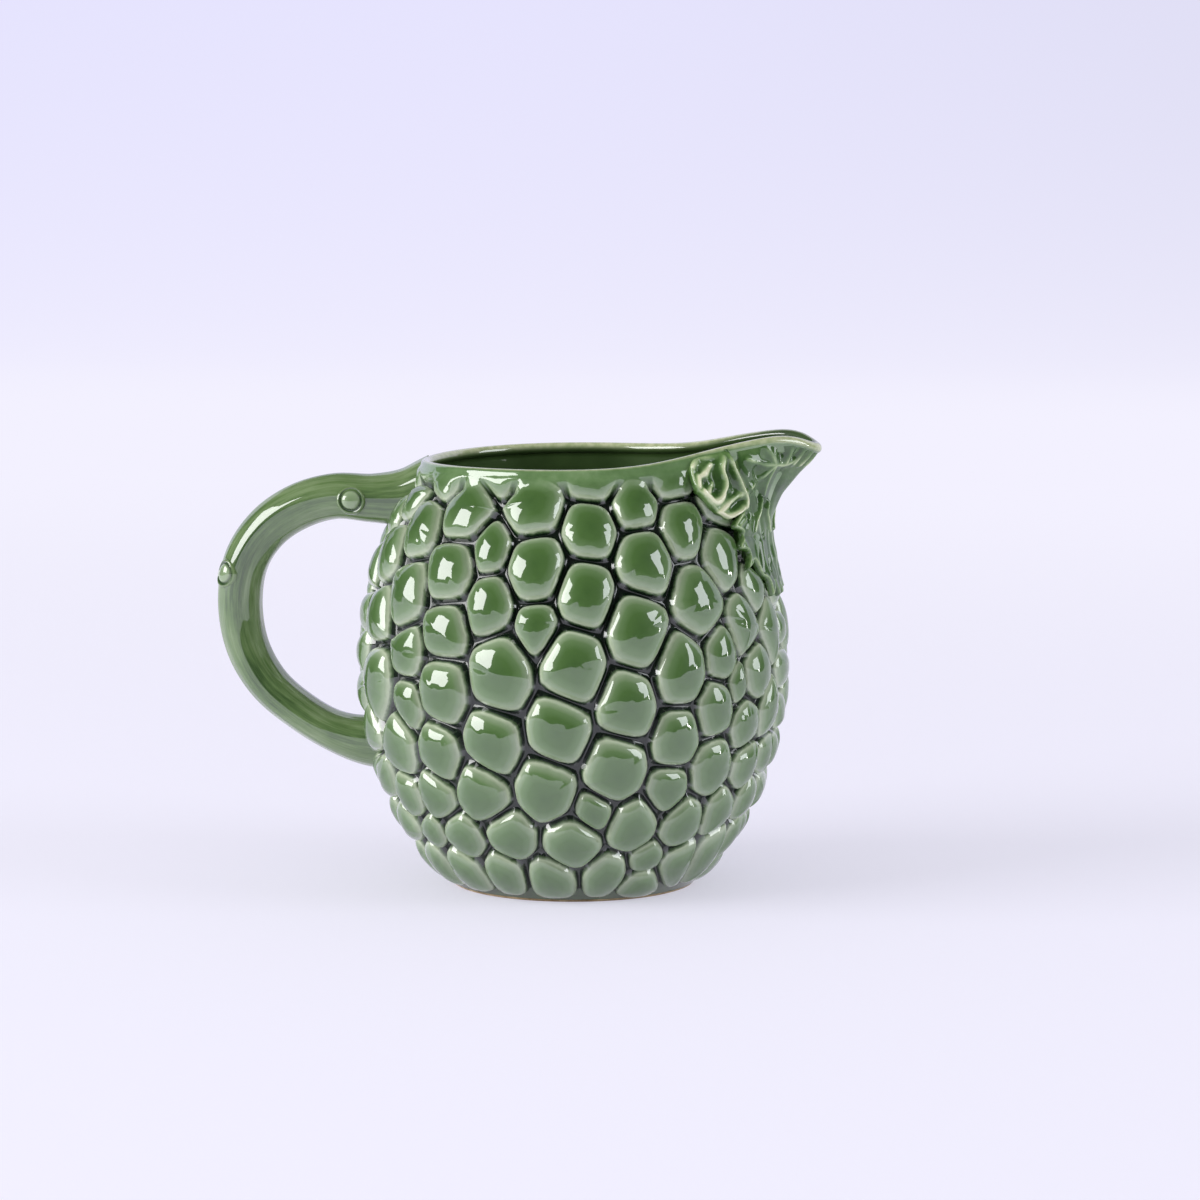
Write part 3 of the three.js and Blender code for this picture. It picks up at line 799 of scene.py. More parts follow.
# %% The grape wall as a plain mesh
SKIN_TOP = LIP_HEIGHT - LIP
SKIN_FOOT = -2
body = plain_mesh("grape_body", SEEDS)
grown_by(ball_tree(), body, {"Fineness": 3, "Valley Depth": VALLEY_DEPTH})
cut_at(body.data, SKIN_TOP, keep_below=True)
cut_at(body.data, SKIN_FOOT, keep_below=False)
grown_by(wall_tree(), body, {"Seat Radius": SEAT_RADIUS, "Seat Height": SEAT_HEIGHT})
still_open = close_loops(body.data)
body.data.materials.clear()
body.data.materials.append(GRAPE_GLAZE)
triangles = sum(len(face.vertices) - 2 for face in body.data.polygons)
print("wall:", triangles, "triangles,", still_open, "open edges")

# %% Attached to the root, in place of the CAD parts that it hides
def declared(made, slot, *nodes):
    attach(made, "root")
    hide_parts(*nodes)
    print(made.name, "stands in for", *nodes)


declared(body, "grape_glaze", "body_near_half", "body_far_half")

# %% [markdown]
# ## Floor and foot
# The floor is a disc with a foot ring. The ring was wiped free of glaze, so that the jug didn't stick
# to the kiln shelf, and shows bare clay. It is turned from a profile, like on a potter's wheel.

# %% A turned piece
def tube_faces(rings, sides):
    faces = []
    for low in range(0, (rings - 1) * sides, sides):
        for k in range(sides):
            n = (k + 1) % sides
            faces.append((low + k, low + n, low + sides + n, low + sides + k))
    last = (rings - 1) * sides
    return faces + [tuple(range(sides))[::-1], tuple(range(last, last + sides))]


def turned(name, profile, sides):
    angles = np.linspace(0, 2 * math.pi, sides, endpoint=False)
    points = [(r * math.cos(a), r * math.sin(a), z) for r, z in profile for a in angles]
    return plain_mesh(name, points, tube_faces(len(profile), sides))


def finished(made, material, smooth_angle=40):
    made.data.materials.clear()
    made.data.materials.append(material)
    with opened(made.data) as shape:
        bmesh.ops.recalc_face_normals(shape, faces=shape.faces)
        for edge in shape.edges:
            edge.smooth = edge.calc_face_angle(0) < math.radians(smooth_angle)
        for face in shape.faces:
            face.smooth = True
    return made


def set_down(made):
    for vertex in made.data.vertices:
        vertex.co = vertex.co * MM + AXIS
    return made


# %% The floor with its foot ring
FLOOR_RADIUS = 44.3
BARE_UP_TO, GLAZED_FROM = 0.0030, 0.0042  # heights in metres, as a material reads them


def clay_rule(g, place):
    cloud = noise(g, place, scale=220, detail=5, roughness=0.6)
    bare = g.smooth(g.parts(place)[2], GLAZED_FROM, BARE_UP_TO)
    clay = ramp(g, cloud, (0.3, 150, 122, 86), (0.7, 206, 184, 146))
    # The glazed floor inside the jug takes the darker inner green, which is painted shade
    return mixed(g, bare, inner_glaze_painted_shade(g, cloud), clay), cloud, 1 - bare


foot = turned("floor_and_foot", [
    (38.7, 1.2), (39.1, 0.9), (39.7, 0.2), (40.2, 0), (43.2, 0), (43.9, 0.25), (FLOOR_RADIUS, 0.9),
    (FLOOR_RADIUS, 5.9), (44.0, 6.2),
], 96)
finished(set_down(foot), glaze_material("foot_clay", clay_rule))
declared(foot, "foot_clay", "base")
print("foot ring:", 2 * FLOOR_RADIUS, "mm across")

# %% [markdown]
# ## The branch handle
# The handle was pulled from a coil of clay, bent like a vine branch and pressed on at both ends. Its
# bark is a set of soft ridges that run along it and drift round it. A loft does this best: rings of
# points along a smooth path, with each ring's radius stirred by waves round the branch.

# %% A smooth path
# The pairs of knots between which the curve blends neighbouring points, level by level
BLENDS = (((0, 1), (1, 2), (2, 3)), ((0, 2), (1, 3)), ((1, 2),))


def smooth_path(points, count, closed=False):
    """Catmull-Rom curve through the points, with knots set by the square root of their distances"""
    given = np.array(points, float)
    if closed:
        given = np.vstack([given[-1], given, given[0], given[1]])
    else:
        given = np.vstack([2 * given[0] - given[1], given, 2 * given[-1] - given[-2]])
    spans = len(given) - 3
    result = []
    for s in np.linspace(0, spans, count, endpoint=not closed):
        i = min(int(s), spans - 1)
        level = list(given[i:i + 4])
        knots = np.cumsum([0, *np.linalg.norm(np.diff(level, axis=0), axis=1) ** 0.5])
        t = knots[1] + (s - i) * (knots[2] - knots[1])
        for pairs in BLENDS:
            level = [
                (level[k] * (knots[b] - t) + level[k + 1] * (t - knots[a])) / (knots[b] - knots[a])
                for k, (a, b) in enumerate(pairs)
            ]
        result.append(level[0])
    return np.array(result)


# %% The path of the branch, from the shoulder round to the belly
# Each point has its distance behind the jug's axis, its height and half the branch's thickness
BRANCH = [
    (50, 143, 12.5), (61, 139.5, 10.8), (74, 138.8, 9), (88, 139.3, 8.4), (101, 135.6, 8.4),
    (113, 127.6, 8.3), (121.4, 115.5, 8.3), (124.1, 100, 8.3), (121.3, 83, 8.1), (113.5, 69.7, 7.8),
    (102, 60, 7.6), (90, 53.2, 8), (78, 49.8, 9.6), (66, 49.5, 11.5),
]
BRANCH_SIDES = 72
BRANCH_STEPS = 230
BRANCH_DEPTH = 8.6  # half the thickness across, toward which the roots are flattened
FLATTENING = 0.6
ROOT_COVER = 2.2
DRIFT_LENGTH = 55
MAIN_RIDGES, RIDGE_HEIGHT, RIDGE_SWAY = 5, 0.16, 2.1
BARK_LOSS = 0.2
# The finer waves of the bark: how high each is, how many go round, and how fast it drifts
BARK_WAVES = ((0.05, 11, -3), (0.03, 17, 4), (0.22, 2, 1.7))
print("branch:", len(BRANCH), "points, at most", 2 * max(half for *_, half in BRANCH), "mm thick")


# %% The loft of the branch
def held_in_wall(x, y, z):
    """Keeps the branch's ends from showing inside: a deeper point is brought out into the wall"""
    stretch = stretch_at(z)
    away, up = math.hypot(x, y), z - BELLY_HEIGHT
    level = math.hypot(away / BELLY_RADIUS, up / stretch)
    slope = math.hypot(away / BELLY_RADIUS**2, up / stretch**2) / level
    lowest = 1 - (inner_depth(z) - ROOT_COVER) * slope
    grown = max(lowest / level, 1)
    return x * grown, y * grown, BELLY_HEIGHT + up * grown


def bark_height(angle, length):
    """The main ridges wander round the branch, with finer waves on them"""
    drift = length / DRIFT_LENGTH
    ridges = RIDGE_HEIGHT * math.sin(MAIN_RIDGES * angle + RIDGE_SWAY * math.sin(drift))
    return ridges - BARK_LOSS + sum(
        height * math.sin(count * angle + speed * drift) for height, count, speed in BARK_WAVES
    )


def marked(made, name, values):
    """Keeps a number or a vector for each point, which the glaze reads"""
    values = np.array(values, float)
    kind, field = ("FLOAT_VECTOR", "vector") if values.ndim == 2 else ("FLOAT", "value")
    made.data.attributes.new(name, kind, "POINT").data.foreach_set(field, values.ravel())


def branch_mesh():
    rows = smooth_path(BRANCH, BRANCH_STEPS)
    points, bark = [], []
    length = 0
    for i, (away, height, half) in enumerate(rows):
        before, after = rows[max(i - 1, 0)], rows[min(i + 1, len(rows) - 1)]
        ahead = np.array([before[0] - after[0], after[1] - before[1]])
        ahead /= np.linalg.norm(ahead)
        length += np.linalg.norm(after[:2] - before[:2]) / 2
        for k in range(BRANCH_SIDES):
            a = 2 * math.pi * k / BRANCH_SIDES
            grown = half + bark_height(a, length)
            wide = grown * math.cos(a)
            deep = (grown + (BRANCH_DEPTH - half) * FLATTENING) * math.sin(a)
            points.append(held_in_wall(-away + ahead[1] * wide, deep, height - ahead[0] * wide))
            bark.append((math.cos(a), math.sin(a), length))
    made = plain_mesh("branch_handle", points, tube_faces(BRANCH_STEPS, BRANCH_SIDES))
    marked(made, "bark", bark)
    return made


# %% The bark's glaze, and the handle
def bark_rule(g, place):
    """Streaks that run along the branch. The inside and the outside of its bend, its two edges seen from
    the front, are painted paler: partly thin glaze, partly painted sheen
    """
    x, y, along = g.parts(attribute(g, "bark", "Vector"))
    stretched = g.xyz(x * 3.4, y * 3.4, along * 0.03)
    streaks = noise(g, stretched, scale=1.6, detail=5, roughness=0.62)
    fine = noise(g, g.xyz(x * 8, y * 8, along * 0.05), scale=2.2, detail=4)
    cloud = noise(g, place, scale=45)
    # Paler toward the branch's two edges seen from the front: partly thinner glaze, partly painted sheen
    edge = g.maths("ABSOLUTE", x)
    thin = streaks * 0.5 + fine * 0.16 + edge * 0.2 + (cloud - 0.5) * 0.4
    base = ramp(
        g, thin, (0.28, 58, 86, 40), (0.42, 94, 122, 68), (0.56, 124, 146, 100),
        (0.72, 162, 178, 146),
    )
    return base, streaks * 0.8 + fine * 0.4, 1.0


BARK_GLAZE = glaze_material("bark_glaze", bark_rule)
handle = finished(set_down(branch_mesh()), BARK_GLAZE)
declared(handle, "bark_glaze", "handle")
print("handle:", len(handle.data.polygons), "faces")

# %% [markdown]
# ## Knots where twigs were cut off
# A cut twig leaves a stub with a ring of bark and a paler heart. They are turned pieces set square to
# the branch.

# %% The two knots
BRANCH_ROUND = 8.4
KNOT_RADIUS = 6
# Radii and heights: the ring of bark, the groove inside it and the raised heart
KNOT_PROFILE = [
    (5.5, -3), (5.4, -0.4), (5.2, 0.1), (4.9, 0.42), (4.55, 0.5), (4.2, 0.3), (3.95, -0.05),
    (3.75, -0.12), (3.5, 0.1), (3.2, 0.5), (2.6, 0.85), (1.6, 1.05), (0.6, 1.1),
]


def knot_rule(g, place):
    cloud = noise(g, place, scale=300)
    base = ramp(
        g, attribute(g, "across") / KNOT_RADIUS + (cloud - 0.5) * 0.1,
        (0.0, 118, 142, 98), (0.3, 134, 156, 116), (0.5, 150, 170, 132), (0.62, 44, 72, 34),
        (0.7, 50, 80, 38), (0.8, 116, 140, 90), (0.92, 92, 120, 68),
    )
    return base, cloud, 1.0


KNOT_GLAZE = glaze_material("knot_glaze", knot_rule)


def knot(name, place, axis, branch, node):
    """A turned stub, whose rim follows the round branch that it sits on"""
    made = turned(name, KNOT_PROFILE, 48)
    marked(made, "across", [vertex.co.xy.length for vertex in made.data.vertices])
    axis = Vector(axis).normalized()
    way = axis.to_track_quat("Z", "Y")
    across = axis.cross(Vector(branch)).normalized()
    for vertex in made.data.vertices:
        turned_to = way @ vertex.co
        drop = (turned_to @ across) ** 2 / (2 * BRANCH_ROUND)
        vertex.co = turned_to - axis * drop + Vector(place)
    declared(finished(set_down(made), KNOT_GLAZE), "bark_glaze", node)


knot("side_knot", (-80.5, -8.6, 138.9), (0, -1, 0.1), (1, 0, 0), "side_twig_knot")
knot("outer_knot", (-128.6, -6.3, 111), (-0.64, -0.75, 0.16), (0.3, 0, 1), "outer_twig_knot")

# %% [markdown]
# ## Leaves pressed over the grapes
# The potter cut leaves from a thin slab, drew the veins with a tool and pressed the leaves on under the
# spout, where they fold and crumple. Flat, a leaf is an outline with lines drawn on it. So each is
# made flat first, over turn and height, with its relief taken from the distance to those lines, and
# is then wrapped on the same skin as the grapes by a small node tree.

# %% The outlines of the leaves
# Each point is a turn round from the spout in degrees and a height in millimetres
DEGREE_LENGTH = 1.25
LEAF_TOP = 155.3
SPOUT_LEAF_SIDE = [
    (8, 155.3), (15, 155.3), (22.4, 155.3), (22.3, 152.5), (21.6, 148), (19.7, 143.5), (18.7, 139.3),
    (22.5, 136.2), (25.5, 133.2), (22, 131), (24, 126.5), (20, 124.5), (22, 119), (17, 121.5), (15, 117),
    (11, 113.5), (10, 108), (6, 112.5), (3, 107),
]
CURLED_LEAF = [
    (24, 155.3), (29.5, 155.2), (34.5, 154.6), (37.2, 152.2), (37.8, 149), (37.6, 146), (36, 143),
    (33.5, 139.8), (31, 137.4), (27.8, 135.8), (23.5, 136.6), (20, 138.2), (19.4, 140.8), (21.2, 145.5),
    (22.8, 150), (23.2, 153),
]
LEAF_NOTCH = (0, 111)
print("leaf outlines:", len(SPOUT_LEAF_SIDE), "points for one side,", len(CURLED_LEAF), "when curled")


def flat(points):
    return np.array([(turn * DEGREE_LENGTH, height) for turn, height in points], float)


def distance_to(points, line):
    best = np.full(len(points), 1e9)
    for a, b in zip(line[:-1], line[1:]):
        along = b - a
        share = np.clip(((points - a) @ along) / max(along @ along, 1e-9), 0, 1)
        best = np.minimum(best, np.linalg.norm(points - a - share[:, None] * along, axis=1))
    return best


# %% A flat leaf
ROW_PITCH = 0.866  # the height of a triangle with sides of 1
EDGE_GAP = 0.6


def flat_leaf(outline, pitch):
    """Points and triangles inside a closed outline, on a grid of equal triangles"""
    low, high = outline.min(axis=0), outline.max(axis=0)
    grid = []
    for i, v in enumerate(np.arange(low[1], high[1], pitch * ROW_PITCH)):
        grid += [(u, v) for u in np.arange(low[0] + (i % 2) * pitch / 2, high[0], pitch)]
    grid = np.array(grid)
    closed = np.vstack([outline, outline[:1]])
    grid = grid[distance_to(grid, closed) > pitch * EDGE_GAP]
    corners = [Vector(point) for point in (*outline, *grid)]
    border = [list(range(len(outline)))]
    points, _, triangles, *_ = mathutils.geometry.delaunay_2d_cdt(corners, [], border, 1, 1e-5)
    return np.array([tuple(point) for point in points]), triangles


def crumpled(points, size):
    """A soft unevenness, as fingers leave it in thin clay, with folds of about this size"""
    return np.array([mathutils.noise.noise((u / size, v / size, size)) for u, v in points])


# %% The leaves' glaze
def leaf_rule(g, place):
    thin = attribute(g, "thin")
    cloud = noise(g, place, scale=90, detail=4)
    fine = noise(g, place, scale=500)
    # Pale crests and rims are thin glaze and painted highlight. The near-black low end of the ramp, in
    # sunk folds, is pooled glaze and painted shade
    share = 0.38 + thin * (0.2 + 0.86 * cloud) + (cloud - 0.5) * 0.5 + (fine - 0.5) * 0.12
    base = ramp(
        g, share, (0.0, 12, 36, 10), (0.22, 34, 66, 20), (0.38, 60, 96, 38), (0.56, 104, 136, 78),
        (0.74, 168, 188, 138), (0.95, 224, 226, 190),
    )
    return base, cloud + fine * 0.5, 0.65


LEAF_GLAZE = glaze_material("leaf_glaze", leaf_rule)

# %% Wrapping a flat leaf on the skin
def wrap_tree():
    g, source, give = geometry_tree(
        "wrap on the skin",
        {"Leaf": ("Geometry", None), "Degree Length": ("Float", DEGREE_LENGTH)},
        {"Leaf": ("Geometry", None)},
    )
    across, height, depth = g.parts(position(g))
    above = g.most(height - BELLY_HEIGHT, 0) / STRETCH_UP
    up = above + g.least(height - BELLY_HEIGHT, 0) / STRETCH_DOWN
    around = across * (-math.pi / 180) / source("Degree Length")
    place = under_skin(g, g.turned_to(around, (1 - up**2) ** 0.5, up), depth)
    leaf = moved(g, source("Leaf"), place * MM + g.xyz(AXIS.x, AXIS.y, 0))
    return give(ended(g, leaf, LEAF_GLAZE))


WRAP = wrap_tree()

# %% Relief from the distance to drawn lines
LINE_STEPS = 5


def lines_relief(points, lines, crest, pale):
    """How far the lines lift and sink each point, and how pale or dark it is painted there: raised lines
    pale, as thin glaze and painted highlight, sunk lines dark, as pooled glaze and painted shade
    """
    lifted, sunk = np.zeros(len(points)), np.zeros(len(points))
    thin, pooled_glaze_and_shade = np.zeros(len(points)), np.zeros(len(points))
    for rise, width, *line in lines:
        away = distance_to(np.abs(points), smooth_path(flat(line), LINE_STEPS * len(line)))
        near = np.exp(-((away / width) ** 2))
        lifted = np.maximum(lifted, rise * near)
        sunk = np.minimum(sunk, rise * near)
        # Crests of raised lines are painted pale, thin glaze and painted highlight. Sunk lines are
        # painted dark, pooled glaze and painted shade
        thin = np.maximum(thin, np.exp(-((away / crest) ** 2)) * pale * min(1, max(rise, 0)))
        pooled_glaze_and_shade = np.maximum(pooled_glaze_and_shade, near * min(1, max(-rise, 0)))
    return lifted + sunk, thin - pooled_glaze_and_shade * (1 - thin)


# %% How deep the face and the back of a leaf lie
LEAF_THICKNESS = 1.3
LEAST_THICKNESS = 0.3
EDGE_ROUND = 0.8
RIM_PLACE, RIM_WIDTH, RIM_RISE = 0.6, 0.4, 0.2
CRUMPLE, CRUMPLE_SIZE = 0.7, 6.5
HIGHEST_FOLD = 2.6
BED_DEPTH = 5.6
BED_START, BED_RUN = 0.3, 2.2
BED_COVER, LEAST_COVER = 1.2, 0.6
PRESSED_FROM, PRESSED_RUN, PRESSED_DEPTH = 132, 14, 1.1
FADE_START = 151.5
RIM_PALE = 0.5


def leaf_depths(points, edge, lift, **drawn):
    """How deep the face and the back of each point lie, and how pale or dark it is painted: thin glaze
    and painted highlight on crests and rims, pooled glaze and painted shade in the sunk folds
    """
    relief, thin = lines_relief(points, **drawn)
    rim = np.exp(-(((edge - RIM_PLACE) / RIM_WIDTH) ** 2))
    pressed_in = np.clip((PRESSED_FROM - points[:, 1]) / PRESSED_RUN, 0, 1)
    depth = PRESSED_DEPTH * pressed_in - lift - relief - RIM_RISE * rim
    depth = depth + CRUMPLE * crumpled(points, CRUMPLE_SIZE)
    roll = np.clip(1 - edge / EDGE_ROUND, 0, 1)
    depth = np.maximum(depth, -HIGHEST_FOLD) + EDGE_ROUND * (1 - np.sqrt(1 - roll**2))
    wall = np.array([inner_depth(height) for height in points[:, 1]])
    back = depth + LEAF_THICKNESS
    bedded = np.clip((edge - BED_START) / BED_RUN, 0, 1)
    back = back + (np.minimum(BED_DEPTH, wall - BED_COVER) - back) * bedded
    back = np.minimum(np.maximum(back, depth + LEAST_THICKNESS), wall - LEAST_COVER)
    fade = np.clip((points[:, 1] - FADE_START) / (LEAF_TOP - FADE_START), 0, 1)
    # The leaf's rolled rim is painted pale too: thin glaze and painted highlight
    thin = np.maximum(thin, rim * RIM_PALE) * (1 - fade)
    return depth + (BAND_DEPTH - depth) * fade**2, back, thin


# %% A leaf as a mesh
OUTLINE_STEPS = 8


def leaf_object(name, outline, pitch, **form):
    smooth = smooth_path(outline, OUTLINE_STEPS * len(outline), closed=True)
    smooth[:, 1] = np.minimum(smooth[:, 1], LEAF_TOP)
    points, triangles = flat_leaf(smooth, pitch)
    borders = [np.array(ends) for ends in zip(smooth, np.roll(smooth, -1, axis=0))]
    free = [ends for ends in borders if ends[:, 1].min() < LEAF_TOP - 0.01]
    edge = np.min([distance_to(points, ends) for ends in free], axis=0)
    face, back, thin = leaf_depths(points, edge, **form)
    both = [(u, v, depth) for depths in (face, back) for (u, v), depth in zip(points, depths)]
    count = len(points)
    faces = [tuple(t) for t in triangles] + [tuple(i + count for i in t[::-1]) for t in triangles]
    sides = [side for t in triangles for side in zip(t, (*t[1:], t[0]))]
    inner = set(sides)
    faces += [(b, a, a + count, b + count) for a, b in sides if (b, a) not in inner]
    made = plain_mesh(name, both, faces)
    marked(made, "thin", np.concatenate([thin, thin * 0]))
    return grown_by(WRAP, made, {"Degree Length": DEGREE_LENGTH})


# %% Veins and folds of the spout leaf
# Each line says how far it rises out of the leaf and how wide it is, in millimetres, then its points
NODE = (10, 149.5)
SPOUT_LINES = [
    (0.9, 1.1, NODE, (13, 146.5), (17.5, 143.8)), (0.9, 1.0, NODE, (10.5, 145.8), (11, 141.5)),
    (0.8, 1.1, NODE, (14, 149.8), (19, 151.8)), (0.8, 0.9, NODE, (13, 153), (15, 155.2)),
    (0.9, 0.8, NODE, (7, 150), (5.5, 151.8)), (0.7, 0.7, NODE, (11.5, 151.8), (11, 155.2)),
    (0.5, 0.8, (20, 135.2), (24, 132.8)), (0.5, 0.8, (17.5, 136), (20, 131.8)),
    (1.4, 0.8, (12, 140.2), (12.5, 136.5), (14.5, 133.2), (16, 130.5)),
    (1.4, 0.8, (7.5, 139), (8, 136.2), (6, 132.8), (3.5, 129.5)),
    (0.6, 1.3, (24, 132), (22.5, 128.5), (20.5, 124.5), (19.5, 119.8)),
    (0.5, 1.2, (16.5, 129.8), (15.5, 126), (15, 119.2)),
    (0.7, 1.4, (5, 129.5), (5.6, 122), (4, 114)), (0.5, 1.2, (10.5, 128), (11, 122), (10, 116)),
    (0.7, 2.0, (0, 153), (0, 140), (0, 128), (0, 113)),
    (1.0, 0.9, (8.4, 156), (7.4, 150.5)), (1.0, 0.8, (5.4, 156.3), (5.2, 150.8)),
    (1.0, 0.7, (3.1, 156.2), (3.2, 151)), (1.0, 0.6, (1, 156), (1.2, 151.5)),
    (-1.5, 0.9, (12.4, 155.2), (9.5, 152.2)), (-1.4, 1.1, (10, 139), (10.5, 134), (9.5, 130)),
    (-1.1, 0.9, (22, 153.5), (21.2, 148), (19.6, 144)),
    (-1.2, 0.7, (6.4, 155.4), (6.3, 152)), (-1.1, 0.6, (4.2, 155.4), (4.2, 152)),
    (-1.0, 0.5, (2, 155.4), (2.1, 152)), (-1.2, 1.6, (16, 148.6), (15.2, 146.8), (13.2, 141.4)),
    (-1.0, 1.3, (16.4, 141.2), (15.2, 136)), (-0.8, 1.0, (19.6, 139), (19, 135)),
    (-0.7, 0.8, (22, 130.2), (15, 128.8), (9, 128)), (-0.9, 0.9, (13, 128), (13, 122), (13, 117)),
    (-1.2, 1.5, (6.4, 147), (5.5, 140), (4, 134)), (-0.8, 0.9, (7, 121), (8, 117), (6, 112)),
]
print("spout leaf:", len(SPOUT_LINES), "veins and folds for one side")

# %% Folds of the curled leaves
CURLED_LINES = [
    (2.0, 1.3, (24, 155), (24, 153.2), (23, 149.8), (21.5, 145.5), (20, 141), (20.4, 139)),
    (1.1, 0.9, (20.4, 139), (23.5, 137.2), (28, 136.6), (31.5, 138)),
    (
        1.9, 1.3, (25.5, 153.5), (27, 150), (27, 146.2), (29.5, 142.5), (32.5, 141.5), (34, 143),
        (35.5, 144.8),
    ),
    (1.0, 1.1, (30, 152), (32.5, 150.2), (35.5, 149), (36.5, 146.8)),
    (0.9, 0.9, (31, 147), (32, 145.8), (34.5, 144)),
    (0.9, 0.9, (21.5, 142.5), (26.5, 140.5), (31, 138.5)),
    (1.1, 1.0, (25, 155), (29.5, 154.2), (33.5, 154.5), (36.5, 152.5)),
    (2.1, 1.5, (24.5, 154.8), (24.6, 154.7)),
    (-1.3, 1.7, (30.2, 151), (30.4, 147)), (-1.2, 1.4, (31.2, 145.5), (30.4, 144.6)),
    (-1.1, 1.2, (22.8, 140.6), (25.5, 139.2)), (-0.8, 0.9, (33, 153.4), (29, 153)),
    (-1.0, 1.2, (24.9, 149.5), (23.8, 144.5)), (-0.9, 1.0, (34.8, 151), (34, 147.4)),
    (-0.7, 1.0, (27.4, 143.4), (24.2, 143.4)),
]
print("curled leaf:", len(CURLED_LINES), "folds")

# %% The three leaves
def leaf(name, node, outline, **form):
    made = leaf_object(name, flat(outline), **form)
    declared(finished(made, LEAF_GLAZE, smooth_angle=70), "leaf_glaze", node)
    print(name, "has", len(made.data.polygons), "faces")


other_side = [(-turn, height) for turn, height in SPOUT_LEAF_SIDE[::-1]]
spout_outline = [(0, LEAF_TOP)] + SPOUT_LEAF_SIDE + [LEAF_NOTCH] + other_side
spout_form = {"pitch": 0.4, "lift": 0.3, "lines": SPOUT_LINES, "crest": 0.45, "pale": 0.6}
leaf("vine_leaf", "spout_leaf", spout_outline, **spout_form)
far_outline = [(-turn, height) for turn, height in CURLED_LEAF]
curled_form = {"pitch": 0.35, "lift": 0.7, "lines": CURLED_LINES, "crest": 1.1, "pale": 1}
leaf("near_curl", "curled_leaf_near", CURLED_LEAF, **curled_form)
leaf("far_curl", "curled_leaf_far", far_outline, **curled_form)

# %% [markdown]
# ## The photographer's table
# The jug stands on a pale sheet that runs up behind it. A window at the upper left gives each grape its
# slanted white mark, a weaker light fills from the right, and the pale table shows in the lower part
# of every dome.

# %% The sheet under and behind the jug
TABLE_SIDES = (-0.8, 0.8)
BACKDROP = (1.9, 3.5)
GLOW_RANGE = (0.2, 1.4)
NEAR_GLOW = 0.5


def sheet(name, material, half_width, front, back, bend, top):
    profile = [(front, 0.0), (back, 0.0)]
    for angle in np.linspace(0.1, math.pi / 2, 15):
        profile.append((back + bend * math.sin(angle), bend * (1 - math.cos(angle))))
    profile.append((back + bend, top))
    points = [(x, y, z) for y, z in profile for x in (-half_width, half_width)]
    faces = [(2 * i, 2 * i + 1, 2 * i + 3, 2 * i + 2) for i in range(len(profile) - 1)]
    return finished(plain_mesh(name, points, faces), material)


def table_material():
    """Pale paper that keeps its colour up the backdrop, where the camera or a reflection sees it. That
    colour is painted darker toward the back and to the right: painted shade where the light falls off
    """
    made = bpy.data.materials.new("table_sheet")
    g = emptied(made)
    path = g.node("ShaderNodeLightPath")
    seen = g.most(path("Is Camera Ray"), path("Is Glossy Ray"))
    seen = g.most(seen, path("Is Transmission Ray"))
    aside, back, _ = g.parts(g.node("ShaderNodeTexCoord")("Object"))
    # Darker and greyer toward the back and to the right, away from the window: painted shade of the
    # light's falloff
    far = mixed(g, g.smooth(aside, *TABLE_SIDES), colour(229, 227, 254), colour(219, 218, 238))
    tone_with_painted_falloff = mixed(g, g.smooth(back, *BACKDROP), colour(243, 241, 255), far)
    paper = g.node("ShaderNodeBsdfDiffuse", inputs={"Color": colour(242, 240, 254)})()
    glow = g.node("ShaderNodeEmission", inputs={"Color": tone_with_painted_falloff, "Strength": 1.0})()
    share = seen * g.lerp(NEAR_GLOW, 1, g.smooth(back, *GLOW_RANGE))
    surface = g.node("ShaderNodeMixShader", inputs={0: share, 1: paper, 2: glow})()
    g.node("ShaderNodeOutputMaterial", inputs={"Surface": surface})
    return made


table = sheet("table", table_material(), half_width=6, front=-3, back=2.4, bend=1.2, top=4)
print("table:", len(table.data.polygons), "faces")

# %% Window, fill light and the room
CAMERA_TURN = 10
MIDDLE = Vector((AXIS.x, AXIS.y, 0.09))


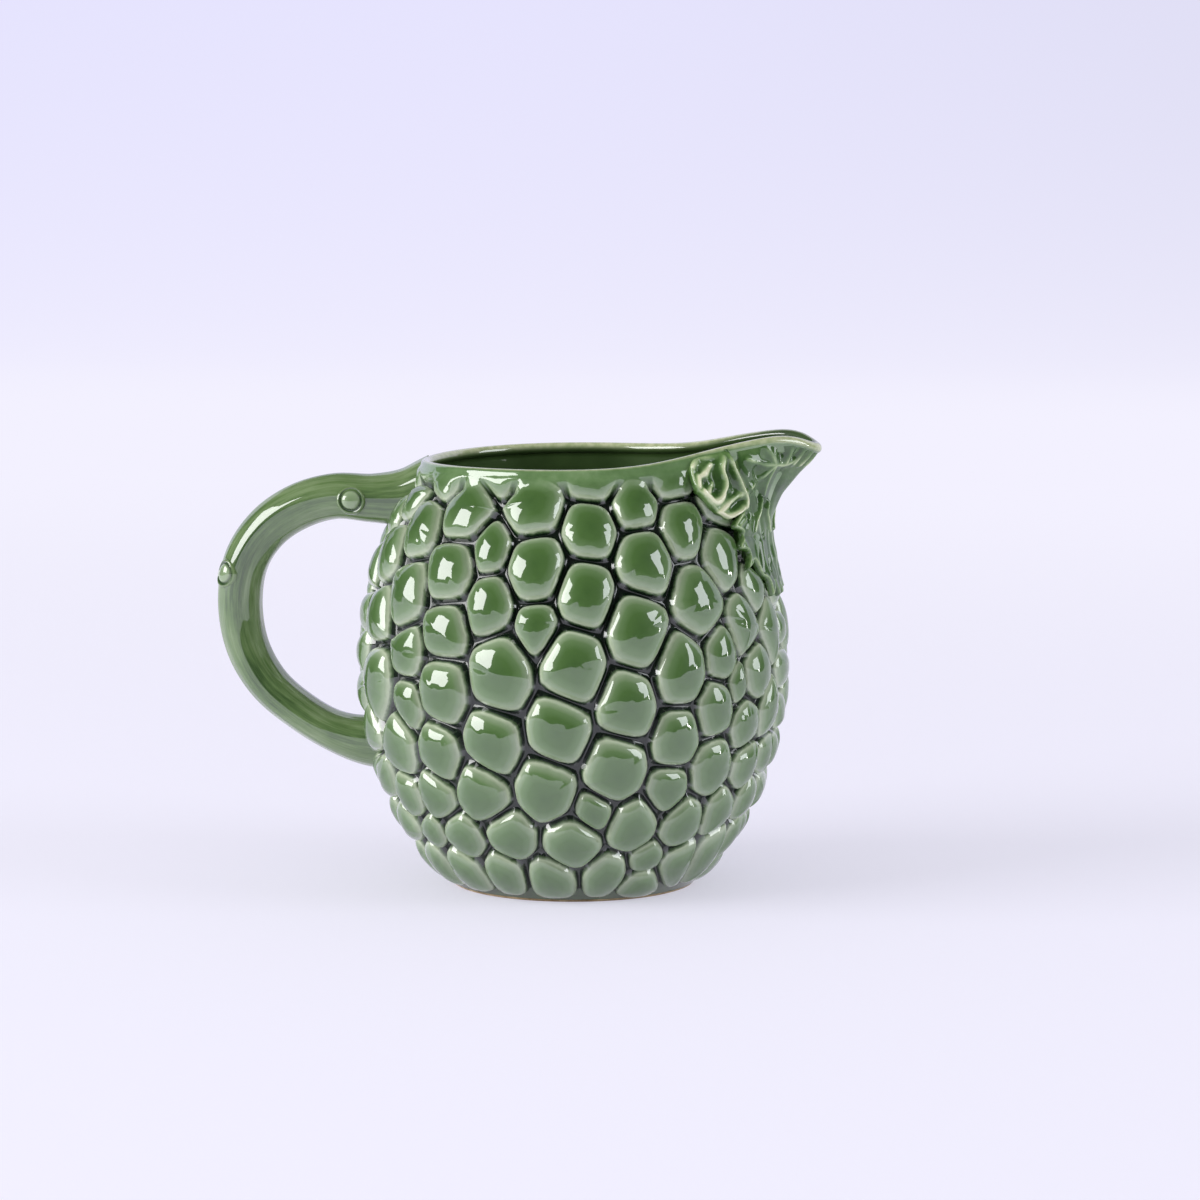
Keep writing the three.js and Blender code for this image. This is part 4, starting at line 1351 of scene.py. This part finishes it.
def window(name, turn, elevation, distance, width, height, level, tint=(1, 1, 1)):
    """An area lamp, by its turn from the camera's direction and the level at which it is seen"""
    around, up = math.radians(CAMERA_TURN + turn), math.radians(elevation)
    out, rise = math.cos(up), math.sin(up)
    way = Vector((math.sin(around) * out, -math.cos(around) * out, rise))
    lamp = bpy.data.lights.new(name, "AREA")
    lamp.shape = "RECTANGLE"
    lamp.size = width
    lamp.size_y = height
    lamp.energy = level * math.pi * width * height
    lamp.color = tint
    made = placed(name, lamp)
    made.location = MIDDLE + way * distance
    made.rotation_euler = way.to_track_quat("Z", "Y").to_euler()
    print(name, "gives", round(lamp.energy, 1), "W")


window("window", turn=-70, elevation=22, distance=3.0, width=2.15, height=1.75, level=5.8)
window(
    "right_window", turn=72, elevation=21, distance=3.0, width=1.35, height=1.7, level=3.8,
    tint=(0.92, 0.95, 1),
)
window("low_glint", turn=82, elevation=2, distance=1.2, width=0.045, height=0.12, level=16)

world = bpy.data.worlds.new("room")
bpy.context.scene.world = world
g = emptied(world)
mirrored = g.node("ShaderNodeLightPath")("Is Glossy Ray")
sky = mixed(g, mirrored, (0.58, 0.58, 0.59, 1), (0.05, 0.055, 0.055, 1))
glow = g.node("ShaderNodeBackground", inputs={"Color": sky, "Strength": 1.0})()
g.node("ShaderNodeOutputWorld", inputs={"Surface": glow})

# %% The camera
CAMERA_DISTANCE = 1.7
CAMERA_HEIGHT = 0.318
AIM_ASIDE = 0.00972
AIM_HEIGHT = 0.103
SENSOR_WIDTH, FOCAL_LENGTH = 36, 141.66
lens = bpy.data.cameras.new("photo_camera")
lens.sensor_width = SENSOR_WIDTH
lens.lens = FOCAL_LENGTH
lens.clip_end = 100
camera = placed("photo_camera", lens)
sine, cosine = math.sin(math.radians(CAMERA_TURN)), math.cos(math.radians(CAMERA_TURN))
camera.location = (AXIS.x + CAMERA_DISTANCE * sine, -CAMERA_DISTANCE * cosine, CAMERA_HEIGHT)
aim = Vector((AXIS.x + AIM_ASIDE * cosine, AIM_ASIDE * sine, AIM_HEIGHT))
camera.rotation_euler = (aim - camera.location).to_track_quat("-Z", "Y").to_euler()
bpy.context.scene.camera = camera
bpy.context.scene.view_settings.view_transform = "Standard"
